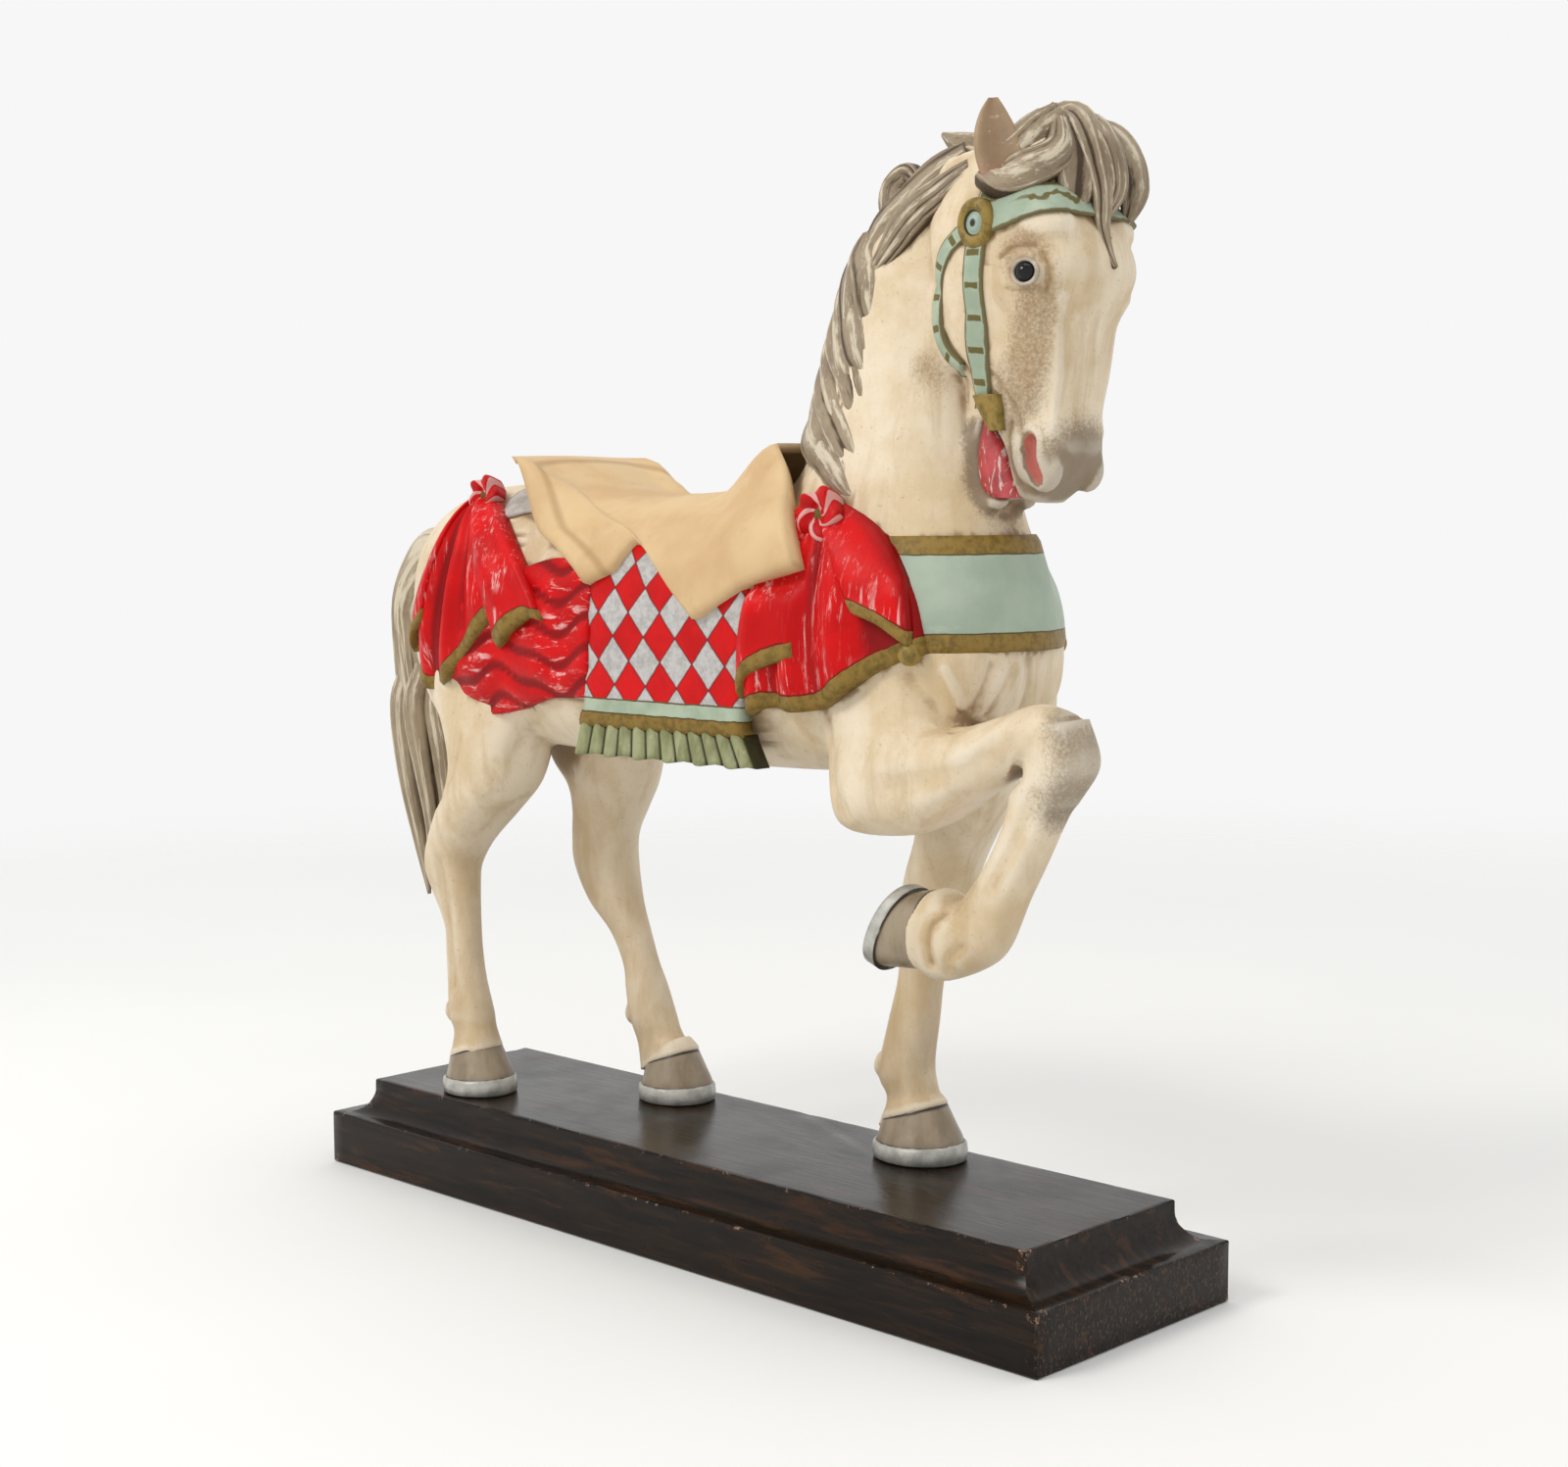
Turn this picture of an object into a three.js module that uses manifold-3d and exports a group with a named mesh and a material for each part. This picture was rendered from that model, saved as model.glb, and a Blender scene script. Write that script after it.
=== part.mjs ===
// A carved carousel horse, standing on a moulded wooden plinth, with two glass bead eyes.
// Millimetres, +Z up. The origin is the centre of the plinth's underside, the horse faces +X,
// and +Y is the horse's left.
import * as THREE from 'three';
import ManifoldModule from 'manifold-3d';

// Driving dimensions
const HORSE_HEIGHT = 394.6; // soles of the shoes to the tip of the ear
const PLINTH_LENGTH = 405;
const PLINTH_WIDTH = 113;
const PLINTH_HEIGHT = 38.1;
const BLOCK_HEIGHT = 23.2; // the plain square part, below the moulding
const SIDE_STEP = 12.8; // how far the top stands back on the long sides
const END_STEP = 15.1; // how far the top stands back on the ends
const LEDGE = 4.2; // flat part of the step, before the cove begins
const LIP_HEIGHT = 3.6; // upright edge above the cove
const COVE_STEPS = 6;
const EYE_DIAMETER = 7.6;
const REST_GAP = 0.3; // between the shoes and the plinth
const SOCKET_GAP = 0.35; // between a bead and its socket
const SOCKET_SEGMENTS = 20;
const FACET_TOLERANCE = 0.6; // how far the faceted skin may stray from the drawn one

// The figure is drawn on a sheet whose ground line lies at DRAWN_SOLE and whose ear tip lies at
// DRAWN_TIP. Every number of the figure is a share of that height.
const DRAWN_SOLE = 38.4;
const DRAWN_TIP = 433;
const FIGURE_SCALE = HORSE_HEIGHT / (DRAWN_TIP - DRAWN_SOLE);

const wasm = await ManifoldModule();
wasm.setup();
const { Manifold, Mesh: SolidMesh } = wasm;

// Numbers

const mix = (a, b, t) => a + (b - a) * t;
const clamp = (v, low, high) => Math.min(high, Math.max(low, v));

function smoothstep(low, high, v) {
  const t = clamp((v - low) / (high - low), 0, 1);
  return t * t * (3 - 2 * t);
}

// Straight-line reading of a table of [x, value, value ...] rows
function readAt(table, x) {
  let i = 0;
  while (i < table.length - 2 && x > table[i + 1][0]) {
    i += 1;
  }
  const [a, b] = [table[i], table[i + 1]];
  const t = clamp((x - a[0]) / (b[0] - a[0]), 0, 1);
  return a.map((v, n) => mix(v, b[n], t));
}

function catmullRom(a, b, c, d, t) {
  return 0.5 * (2 * b + (c - a) * t + (2 * a - 5 * b + 4 * c - d) * t * t
    + (3 * b - a - 3 * c + d) * t * t * t);
}

// Rows of equal length, with smooth rows put between them
function refine(rows, steps) {
  const fine = [];
  const last = rows.length - 1;
  for (let i = 0; i < last; i += 1) {
    const [a, b] = [rows[Math.max(0, i - 1)], rows[i]];
    const [c, d] = [rows[i + 1], rows[Math.min(last, i + 2)]];
    for (let s = 0; s < steps; s += 1) {
      fine.push(b.map((v, n) => catmullRom(a[n], v, c[n], d[n], s / steps)));
    }
  }
  fine.push([...rows[last]]);
  return fine;
}

const power = (v, n) => Math.sign(v) * Math.abs(v) ** n;

// Closed solids from points

function solidFrom(points, triangles) {
  let volume = 0;
  for (const [a, b, c] of triangles) {
    const [p, q, r] = [points[a], points[b], points[c]];
    volume += p[0] * (q[1] * r[2] - q[2] * r[1]) - p[1] * (q[0] * r[2] - q[2] * r[0])
      + p[2] * (q[0] * r[1] - q[1] * r[0]);
  }
  const facingOut = volume > 0 ? triangles : triangles.map(([a, b, c]) => [a, c, b]);
  return new Manifold(new SolidMesh({
    numProp: 3,
    vertProperties: Float32Array.from(points.flat()),
    triVerts: Uint32Array.from(facingOut.flat()),
  }));
}

// A skin over a row of rings of equal count, closed by a fan at each end. The fans are flat
// unless the heights of two poles are given.
function skinOver(rings, poles = null) {
  const count = rings[0].length;
  const points = rings.flat();
  const triangles = [];
  for (let r = 0; r < rings.length - 1; r += 1) {
    for (let s = 0; s < count; s += 1) {
      const [a, b] = [r * count + s, r * count + ((s + 1) % count)];
      triangles.push([a, b, b + count], [a, b + count, a + count]);
    }
  }
  for (const [r, flip] of [[0, true], [rings.length - 1, false]]) {
    const middle = [0, 1, 2].map((n) => rings[r].reduce((sum, p) => sum + p[n], 0) / count);
    if (poles) {
      middle[2] = poles[flip ? 0 : 1];
    }
    const centre = points.push(middle) - 1;
    for (let s = 0; s < count; s += 1) {
      const [a, b] = [r * count + s, r * count + ((s + 1) % count)];
      triangles.push(flip ? [centre, b, a] : [centre, a, b]);
    }
  }
  return solidFrom(points, triangles);
}

// A limb: rows [front x, front z, back x, back z, half width, middle y]
function limb(rows, { segments = 12, steps = 1, square = 2.2, lobes = 0, lobeDepth = 0 } = {}) {
  const rings = refine(rows, steps).map(([ax, az, bx, bz, w, y]) => {
    const ring = [];
    for (let s = 0; s < segments; s += 1) {
      const angle = (s / segments) * 2 * Math.PI;
      const swell = 1 + lobeDepth * Math.cos(lobes * angle);
      const along = power(Math.cos(angle), 2 / square) * swell;
      const across = power(Math.sin(angle), 2 / square) * swell;
      ring.push([mix(bx, ax, 0.5 + 0.5 * along), y + w * across, mix(bz, az, 0.5 + 0.5 * along)]);
    }
    return ring;
  });
  return skinOver(rings);
}

// A lock of hair: rows [x, y, z, half width, half thickness], two ridges with a groove between,
// lying on a surface whose outward direction is given
const LOCK_SECTION = [[-1, 0], [-0.55, 0.95], [0, 0.45], [0.55, 0.95], [1, 0], [0, -1]];

function lock(rows, outward, steps = 2) {
  const fine = refine(rows, steps);
  const out = new THREE.Vector3(...outward);
  const rings = fine.map(([x, y, z, w, t], i) => {
    const [p, q] = [fine[Math.max(0, i - 1)], fine[Math.min(fine.length - 1, i + 1)]];
    const along = new THREE.Vector3(q[0] - p[0], q[1] - p[1], q[2] - p[2]).normalize();
    const side = new THREE.Vector3().crossVectors(along, out).normalize();
    const up = new THREE.Vector3().crossVectors(side, along);
    return LOCK_SECTION.map(([s, u]) => [
      x + side.x * s * w + up.x * u * t,
      y + side.y * s * w + up.y * u * t,
      z + side.z * s * w + up.z * u * t,
    ]);
  });
  return skinOver(rings);
}

// A patch with a true thickness: outer and inner give a point for column i and row j
function slab(columns, rows, outer, inner) {
  const points = [];
  const at = (i, j, layer) => 2 * (i * (rows + 1) + j) + layer;
  for (let i = 0; i <= columns; i += 1) {
    for (let j = 0; j <= rows; j += 1) {
      points.push(outer(i, j), inner(i, j));
    }
  }
  const triangles = [];
  const quad = (a, b, c, d) => triangles.push([a, b, c], [a, c, d]);
  for (let i = 0; i < columns; i += 1) {
    for (let j = 0; j < rows; j += 1) {
      quad(at(i, j, 0), at(i + 1, j, 0), at(i + 1, j + 1, 0), at(i, j + 1, 0));
      quad(at(i, j, 1), at(i, j + 1, 1), at(i + 1, j + 1, 1), at(i + 1, j, 1));
    }
    quad(at(i, 0, 0), at(i, 0, 1), at(i + 1, 0, 1), at(i + 1, 0, 0));
    quad(at(i, rows, 0), at(i + 1, rows, 0), at(i + 1, rows, 1), at(i, rows, 1));
  }
  for (let j = 0; j < rows; j += 1) {
    quad(at(0, j, 0), at(0, j + 1, 0), at(0, j + 1, 1), at(0, j, 1));
    quad(at(columns, j, 0), at(columns, j, 1), at(columns, j + 1, 1), at(columns, j + 1, 0));
  }
  return solidFrom(points, triangles);
}

// A round lump, with its own three half sizes
function lump(centre, sizes, segments = 10) {
  const rings = [];
  const levels = Math.round(segments / 2);
  for (let i = 1; i < levels; i += 1) {
    const tilt = (i / levels) * Math.PI;
    const ring = [];
    for (let s = 0; s < segments; s += 1) {
      const angle = (s / segments) * 2 * Math.PI;
      ring.push([
        centre[0] + sizes[0] * Math.sin(tilt) * Math.cos(angle),
        centre[1] + sizes[1] * Math.sin(tilt) * Math.sin(angle),
        centre[2] - sizes[2] * Math.cos(tilt),
      ]);
    }
    rings.push(ring);
  }
  return skinOver(rings, [centre[2] - sizes[2], centre[2] + sizes[2]]);
}

const mirrored = (solid) => solid.mirror([0, 1, 0]);
const bothSides = (solid) => [solid, mirrored(solid)];

// Trunk: [top x, top z, bottom x, bottom z, half width, middle y]
const TRUNK_SQUARE = 2.5;
const TRUNK = [
  [-171, 268, -172, 240, 16, 0], [-166, 284, -168, 222, 29, 0], [-152, 296, -157, 208, 40, 0],
  [-130, 303, -130, 198, 46, 0], [-100, 303, -100, 193, 47, 0], [-60, 298, -60, 191, 46, 0],
  [-20, 295, -20, 190, 46, 0], [20, 297, 20, 191, 46, 0], [60, 303, 60, 192, 46, 0],
  [95, 302, 95, 194, 45, 0], [120, 292, 122, 200, 41.5, 0], [138, 280, 142, 209, 35, 0],
  [148.5, 266, 151, 219, 24, 0], [154.5, 254, 156, 232, 11, 0],
];

function trunkAt(x) {
  const [, top, , low, half] = readAt(TRUNK.map((r) => [(r[0] + r[2]) / 2, ...r.slice(1)]), x);
  return { middle: (top + low) / 2, rise: (top - low) / 2, half };
}

// Half width of the trunk at a point of its side view
function trunkSide(x, z) {
  const { middle, rise, half } = trunkAt(x);
  const share = clamp(Math.abs((z - middle) / rise), 0, 0.995);
  return half * (1 - share ** TRUNK_SQUARE) ** (1 / TRUNK_SQUARE);
}

const NECK = [
  [152, 250, 36, 290, 38, 0], [151, 266, 48, 303, 36, 0], [145, 283, 58, 316, 33, 0],
  [139, 303, 64, 334, 29, 0], [136, 323, 70, 355, 25.5, 0], [134, 342, 80, 379, 22.5, 0],
  [138, 362, 92, 399, 20, 0], [148, 386, 112, 412, 17, 0],
];

const HEAD = [
  [150, 419, 117, 413, 13, 0], [169, 409, 117, 399, 20, 0], [181, 392, 120, 384, 26, 0],
  [189, 373, 125, 366, 28, 0], [181.5, 355, 130, 350, 23, 0], [179.5, 339, 134, 338, 20, 0],
  [177.5, 324, 141, 326, 16.5, 0], [178.5, 311, 150, 314, 16, 0], [173, 301, 153, 303, 14, 0],
  [164, 293, 154, 296, 9, 0],
];

const JAW = [
  [150, 346, 132, 344, 13, 0], [145, 330, 131, 328, 11, 0], [143, 314, 131.5, 312, 10, 0],
  [146, 302, 133, 299, 9.5, 0], [149, 295, 138, 291.5, 6.5, 0],
];

// Legs: [front x, front z, back x, back z, half width, middle y], from the body down
const NEAR_HIND = [
  [-84, 250, -160, 256, 16, -20], [-82, 222, -160, 226, 21, -23], [-90, 196, -146, 204, 21, -25],
  [-98, 177, -142, 182, 18.5, -25], [-112, 164, -153, 162, 16.5, -25],
  [-128, 150, -163, 145, 13, -25], [-136, 139, -165, 135, 11, -25], [-137, 130, -162, 127, 9.5, -25],
  [-136, 113, -154, 111, 7.2, -25], [-135, 100, -153, 98, 7, -25], [-133, 88, -152, 83, 7.5, -25],
  [-129, 74, -151, 71, 8.7, -25], [-127.5, 67, -148, 63, 8.3, -24.8], [-125, 59, -151, 50, 10.5, -24.5],
];
const FAR_HIND = [
  [-70, 250, -150, 250, 16, 20], [-66, 222, -148, 222, 21, 23], [-73, 192, -134, 186, 21, 25],
  [-78, 175, -122, 172, 18, 25], [-84, 163, -120, 161, 15.5, 25], [-89, 152, -122, 148, 13, 25],
  [-90, 141, -121, 136, 12.5, 25], [-86, 121, -113, 121, 10.5, 25], [-80, 108, -100, 108, 7.8, 25],
  [-75, 96, -92, 94, 7, 25], [-70, 86, -90, 83, 8, 25], [-65, 74, -87, 71, 9, 24.8],
  [-61, 67, -82, 60, 8.4, 24.6], [-54, 59, -79, 48, 10.5, 24.6],
];
const FORE_STANDING = [
  [138, 235, 84, 225, 16, 20], [131, 205, 84, 190, 19, 23], [121, 181, 84, 168, 17, 24],
  [110, 160, 76, 146, 14, 24], [98, 130, 73, 125, 10, 24], [91, 112, 71, 109, 7.6, 24],
  [88, 94, 66, 91, 8.4, 24], [85, 76, 61, 70, 9.4, 24], [87, 66, 65, 60, 8.4, 24.2],
  [89, 59, 61, 48, 11, 24.3],
];
const FOREARM = [
  [112, 250, 84, 212, 15, -24], [127, 226, 90, 184, 20, -28], [142, 216, 99, 174.5, 20, -30],
  [156, 217, 125, 175, 18, -30], [170, 221, 142, 181, 17, -30], [183, 225, 157, 191, 15, -30],
  [197, 222, 172, 199, 11.5, -30],
];
const CANNON = [
  [201, 221, 176, 212, 10, -30], [206, 206, 178, 201, 11, -30], [198, 193, 172, 194, 9.7, -30],
  [193, 187, 169, 184, 9, -30], [184, 170, 161, 169, 8.7, -30], [176, 156, 152, 157, 9.6, -30],
  [167, 138, 146, 153, 10.4, -30], [157, 130, 141, 157, 11.5, -30], [140, 124, 138, 157, 12.5, -30],
  [131, 127, 132, 155, 12.5, -30],
];
const RAISED_HOOF = [
  [134, 126, 137, 156, 12, -30], [130, 127, 133, 156, 12.4, -30], [112, 126, 126, 154.5, 13, -30],
];
const RAISED_SHOE = [
  [112.5, 124.5, 127, 156, 13.8, -30], [107.5, 126.5, 122.5, 157, 14, -30],
];

// Standing hooves: [x, y, half length, half width]
const HOOVES = [[-135.5, -24.5, 16.2, 14.8], [-61, 24.6, 16.6, 15], [79.5, 24.3, 18.6, 16.2]];
const SHOE_HEIGHT = 7.6;

// One hoof: a flat shoe, and above it the wall, narrower at the top and lower at the heel
function hoof([x, y, long, wide]) {
  const ring = (share, front, back, shift) => {
    const points = [];
    for (let s = 0; s < 16; s += 1) {
      const angle = (s / 16) * 2 * Math.PI;
      const along = Math.cos(angle);
      points.push([
        x + shift + long * share * along,
        y + wide * share * Math.sin(angle),
        DRAWN_SOLE + mix(back, front, 0.5 + 0.5 * along),
      ]);
    }
    return points;
  };
  const shoe = skinOver([ring(1.05, 0, 0, 0), ring(1.07, 3, 3, 0), ring(1.02, SHOE_HEIGHT, 6.4, 0)]);
  const wall = skinOver([
    ring(0.9, 2, 2, 0), ring(0.97, SHOE_HEIGHT, 6, 0.2), ring(0.76, 20.5, 12.5, -2.4),
    ring(0.66, 23.5, 13.5, -3.2),
  ]);
  return [shoe, wall];
}

// Tail: a smooth grooved mass, ending in separate pointed locks
const TAIL = [
  [-156, 281, -154, 262, 7, 0], [-172, 285, -166, 260, 10, 0], [-193, 285, -180, 258, 11.5, 0],
  [-205, 275, -188, 252, 12.5, 0], [-214, 258, -192, 245, 13, 0], [-216, 239, -191, 233, 13, 0],
  [-214, 212, -187, 210, 12.5, 0], [-213, 190, -181, 190, 11, 0], [-208, 172, -182, 176, 8, 0],
];
const TAIL_LOCKS = [
  [[-211, 2, 205, 6, 7], [-208, 3, 180, 5, 5], [-206, 4, 153, 1, 1]],
  [[-206, -9, 205, 6, 6], [-202, -9, 170, 5, 5], [-198, -7, 140, 3.6, 3.6], [-195, -5, 117, 0.8, 0.8]],
  [[-195, -10, 205, 6, 6], [-190, -9, 175, 5, 5], [-190, -7, 150, 3.4, 3.4], [-193, -6, 126, 0.8, 0.8]],
  [[-186, -6, 205, 5, 6], [-179, -7, 182, 5, 5], [-180, -6, 160, 3.4, 3], [-186, -5, 136, 0.8, 0.8]],
  [[-203, 10, 205, 6, 6], [-198, 10, 172, 5, 5], [-196, 8, 146, 3.4, 3.4], [-195, 5, 124, 0.8, 0.8]],
  [[-190, 9, 205, 6, 6], [-185, 9, 178, 5, 5], [-184, 7, 154, 3.4, 3.4], [-187, 5, 134, 0.8, 0.8]],
];

// Mane: near locks hang over the side that shows, rows [x, y, z, half width, half thickness]
const MANE_RIDGE = [
  [63, 313, 49, 305, 12, 0], [68, 332, 55, 324, 10, 0], [74, 354, 61, 348, 9, 0],
  [81, 374, 68, 370, 8.5, 0], [93, 393, 79, 392, 8, 0], [107, 406, 95, 407, 8, 0],
  [125, 415, 111, 418, 8, 0], [143, 419, 133, 424, 8, 0],
];
const NEAR_LOCKS = [
  [[87, -7, 392, 4, 4], [88, -13, 381, 5.5, 4.5], [94, -18, 370, 5, 4], [101, -20, 352, 1, 1.4]],
  [[78, -5, 384, 4, 4], [82, -13, 368, 6, 5], [92, -20, 352, 5.5, 4.5], [104, -23, 331, 1, 1.4]],
  [[69, -4, 366, 4, 4], [79, -15, 350, 6.5, 5], [93, -22, 335, 6, 5], [105, -25, 313, 1, 1.4]],
  [[63, -4, 348, 4, 4], [74, -17, 332, 6.5, 5.5], [91, -25, 318, 6, 5], [106, -29, 298, 1, 1.4]],
  [[58, -4, 330, 4, 4], [69, -18, 316, 6.5, 5.5], [87, -28, 306, 5.5, 4.5], [103, -32, 294, 1, 1.4]],
  [[133, -8, 416, 4, 4], [111, -11, 404, 6, 5], [95, -10, 391, 5.5, 5], [75, -6, 373, 1.4, 1.6]],
  [[139, -14, 410, 3, 3], [121, -18, 400, 5, 4], [107, -18, 386, 5, 4], [87, -14, 375, 1.2, 1.4]],
];
const FAR_LOCKS = [
  [[98, 7, 404, 4, 4], [92, 16, 386, 6.5, 4.5], [98, 20, 366, 6, 4], [106, 22, 346, 1, 1.4]],
  [[70, 5, 372, 4, 4], [78, 16, 350, 7, 5], [90, 22, 332, 6, 4.5], [102, 26, 312, 1, 1.4]],
  [[56, 4, 338, 4, 4], [68, 18, 322, 7, 5], [84, 27, 308, 6, 4.5], [100, 32, 294, 1, 1.4]],
];
const POLL_LOCK = [[151, -6, 416, 6, 6], [137, -4, 418, 5.5, 6], [125, -2, 421, 4.5, 5], [114, 0, 426, 1, 1.4]];
const CURL = [
  [113, -6, 400, 5, 6], [103, -4, 397, 6, 6], [93, -2, 401, 6, 6], [91, 0, 409, 5, 6],
  [97, 1, 414, 4, 5.5], [102, 1, 410, 2, 4],
];

// Forelock: from the poll over the top, down across the browband and the forehead
const FORELOCK = [
  [[146, -22, 400, 5, 4], [159, -23, 398, 6, 5], [168, -18, 403, 6, 5.5], [173, -10, 412, 5, 5],
    [170, -4, 423, 3, 4]],
  [[148, -14, 407, 6, 6], [160, -14, 412, 7, 7], [165, -8, 421, 6, 6], [168, -2, 427, 4, 5]],
  [[156, -2, 417, 8, 8], [166, -2, 423, 7, 6], [175, -3, 414, 7, 5], [178, -5, 401, 6, 4],
    [178, -7, 394, 3, 2]],
  [[158, 3, 419, 7, 8], [169, 4, 425, 6, 6], [178, 3, 415, 5, 5], [182, 2, 401, 4, 4.5],
    [181, 2, 387, 2.6, 4], [182, 2, 373, 0.8, 1.4]],
  [[158, 8, 417, 7, 7], [171, 9, 422, 6, 6], [181, 8, 414, 5, 5], [184, 7, 401, 4, 4.5],
    [182, 5, 390, 1.6, 3], [180, 4, 383, 0.8, 1.4]],
  [[156, 13, 414, 7, 7], [172, 15, 419, 7, 6], [182, 17, 411, 6, 5], [185, 18, 401, 5, 4.5],
    [182, 17, 390, 1.4, 2]],
];
const NEAR_EAR = [
  [162, -17, 397, 10, 7], [160, -20, 406, 11, 6.5], [157, -21, 415, 9, 5],
  [154.5, -20.5, 424, 6, 3.6], [153.5, -20, 432, 2.4, 2],
];

// Cloths: each thread runs from the rosette to the hem, rows [x, z, height above the body]
const REAR_DRAPE = [
  [[-121, 300, 5], [-130, 276, 4], [-141, 250, 4], [-150, 223, 4]],
  [[-120, 301, 7], [-125, 276, 6], [-134, 247, 6], [-143, 217, 6]],
  [[-119, 301, 6], [-120, 276, 3], [-126, 247, 3], [-134, 217, 4]],
  [[-118, 301, 8], [-114, 278, 6], [-116, 250, 7], [-122, 222, 7]],
  [[-117, 301, 7], [-109, 279, 4], [-108, 256, 4], [-109, 231, 5]],
  [[-116, 301, 8], [-104, 281, 7], [-99, 261, 7], [-95, 242, 7]],
  [[-115, 301, 7], [-100, 283, 5], [-91, 266, 5], [-85, 251, 5]],
];
const REAR_DRAPE_FRONT = [
  [[-119, 300, 7], [-106, 280, 6], [-95, 258, 6], [-84, 236, 6]],
  [[-117, 301, 9], [-101, 283, 9], [-86, 262, 9], [-74, 243, 9]],
  [[-115, 301, 8], [-95, 285, 7], [-78, 266, 7], [-63, 249, 7]],
  [[-113, 301, 9], [-92, 288, 8], [-73, 271, 8], [-55, 248, 7]],
];
const REAR_SWAG = [
  [[-118, 258, 2], [-124, 238, 3], [-124, 219, 3]],
  [[-100, 262, 3], [-104, 232, 5], [-104, 208, 4]],
  [[-80, 266, 3], [-84, 236, 3], [-84, 210, 4]],
  [[-62, 272, 3], [-62, 240, 5], [-60, 216, 4]],
  [[-46, 273, 3], [-46, 242, 3], [-46, 217, 4]],
  [[-30, 268, 3], [-30, 244, 4], [-32, 218, 4]],
];
const FRONT_DRAPE = [
  [[74, 296, 4], [63, 274, 4], [59, 245, 5], [56, 215, 5]],
  [[76, 297, 6], [70, 274, 7], [66, 246, 7], [63, 218, 7]],
  [[78, 297, 5], [77, 274, 3], [74, 246, 4], [71, 219, 4]],
  [[80, 298, 7], [84, 274, 6], [83, 246, 7], [82, 218, 7]],
  [[82, 298, 5], [90, 275, 3], [92, 248, 4], [94, 220, 4]],
  [[84, 298, 7], [97, 278, 6], [104, 252, 7], [106, 226, 7]],
  [[86, 298, 5], [105, 281, 3], [116, 260, 3], [121, 235, 4]],
  [[88, 298, 4], [113, 285, 3], [132, 262, 3], [138, 241, 4]],
];
const DRAPE_FLOOR = 39; // a cloth never lies nearer the middle than this, where the thigh carries it

function drape(threads, side, floor = DRAPE_FLOOR) {
  const steps = side < 0 ? 2 : 1; // the side away from the viewer is plainer
  const columns = (threads.length - 1) * steps;
  const rows = (threads[0].length - 1) * steps;
  const fineThreads = refine(threads.map((thread) => refine(thread, steps).flat()), steps);
  const at = (i, j) => fineThreads[i].slice(j * 3, j * 3 + 3);
  const point = (i, j, depth) => {
    const [x, z, lift] = at(i, j);
    const body = Math.max(trunkSide(x, z), floor * smoothstep(290, 262, z));
    return [x, side * (body + (depth === 0 ? lift : -4)), z];
  };
  return slab(columns, rows, (i, j) => point(i, j, 0), (i, j) => point(i, j, 1));
}

// Rosette: a knot of cloth, petals round a middle, on the side of the body
const ROSETTE_RINGS = [[0.8, -6], [1, 0], [0.8, 2.6], [0.34, 1.2]]; // share of the radius, height

function rosette([x, y, z], radius, petals = 5) {
  const segments = petals * 3;
  const rings = ROSETTE_RINGS.map(([share, height]) => {
    const ring = [];
    for (let s = 0; s < segments; s += 1) {
      const angle = (s / segments) * 2 * Math.PI;
      const size = radius * share * (1 + 0.1 * Math.cos(petals * angle));
      ring.push([x + size * Math.cos(angle), y + Math.sign(y) * height, z + size * Math.sin(angle)]);
    }
    return ring;
  });
  return skinOver(rings);
}

// Panel with the painted diamonds: hangs straight down each side, below the saddle
const PANEL_EDGES = [[280, -30, 60], [240, -31, 58], [213, -35, 54], [207, -37, 56], [196, -39, 64]];
const PANEL_Y = 45.5;
const PANEL_THICKNESS = 7;
const FRINGE_TOP = 207;
const FRINGE_LOW = 196;
const TASSELS = 12;

function panelEdge(z, share) {
  const [, left, right] = readAt([...PANEL_EDGES].reverse(), z);
  return mix(left, right, share);
}

function panel(side) {
  const heights = [280, 262, 238, 214, 213.4, FRINGE_TOP + 0.4, FRINGE_TOP];
  const proud = [3, 3, 3, 3, 4, 4.2, 3.2];
  const point = (i, j, depth) => {
    const z = heights[j];
    const x = panelEdge(z, i / 3);
    const hang = Math.max(trunkSide(x, z), PANEL_Y * (1 - smoothstep(250, 280, z)));
    return [x, side * (hang + (depth ? -PANEL_THICKNESS : proud[j])), z];
  };
  return slab(3, heights.length - 1, (i, j) => point(i, j, 0), (i, j) => point(i, j, 1));
}

function fringe(side) {
  const point = (i, j, depth) => {
    const z = j === 0 ? FRINGE_TOP + 1 : FRINGE_LOW;
    const x = panelEdge(z, i / (2 * TASSELS));
    const ridge = i % 2 ? 3.6 : 1.6;
    return [x, side * (PANEL_Y + (depth ? -PANEL_THICKNESS : ridge + 2 * j)), z];
  };
  return slab(2 * TASSELS, 1, (i, j) => point(i, j, 0), (i, j) => point(i, j, 1));
}

// Saddle: one curved sheet over the back. Its lower edge rises to a notch over the panel.
const SADDLE_LOW_EDGE = [
  [-31, 262], [-16, 267], [-9, 278], [3, 273], [19, 261], [34, 250], [45, 256], [58, 262], [88, 269],
];
const SADDLE_REAR = [[0, -97], [0.4, -98], [0.62, -77], [0.8, -52], [0.92, -38], [1, -31]];
const SADDLE_FRONT = [[0, 47], [0.3, 50], [0.5, 66], [0.75, 78], [1, 88]];
const SADDLE_THICKNESS = 3.6;
const FLAP_LIFT = 6.6; // the low flap lies over the panel
const RIM_HEIGHT = 315.5; // level edge of the cantle
const POMMEL_HEIGHT = 317;
const SADDLE_COLUMNS = 12; // across the back, from edge to edge
const SADDLE_ROWS = 12; // from the cantle to the pommel

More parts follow.
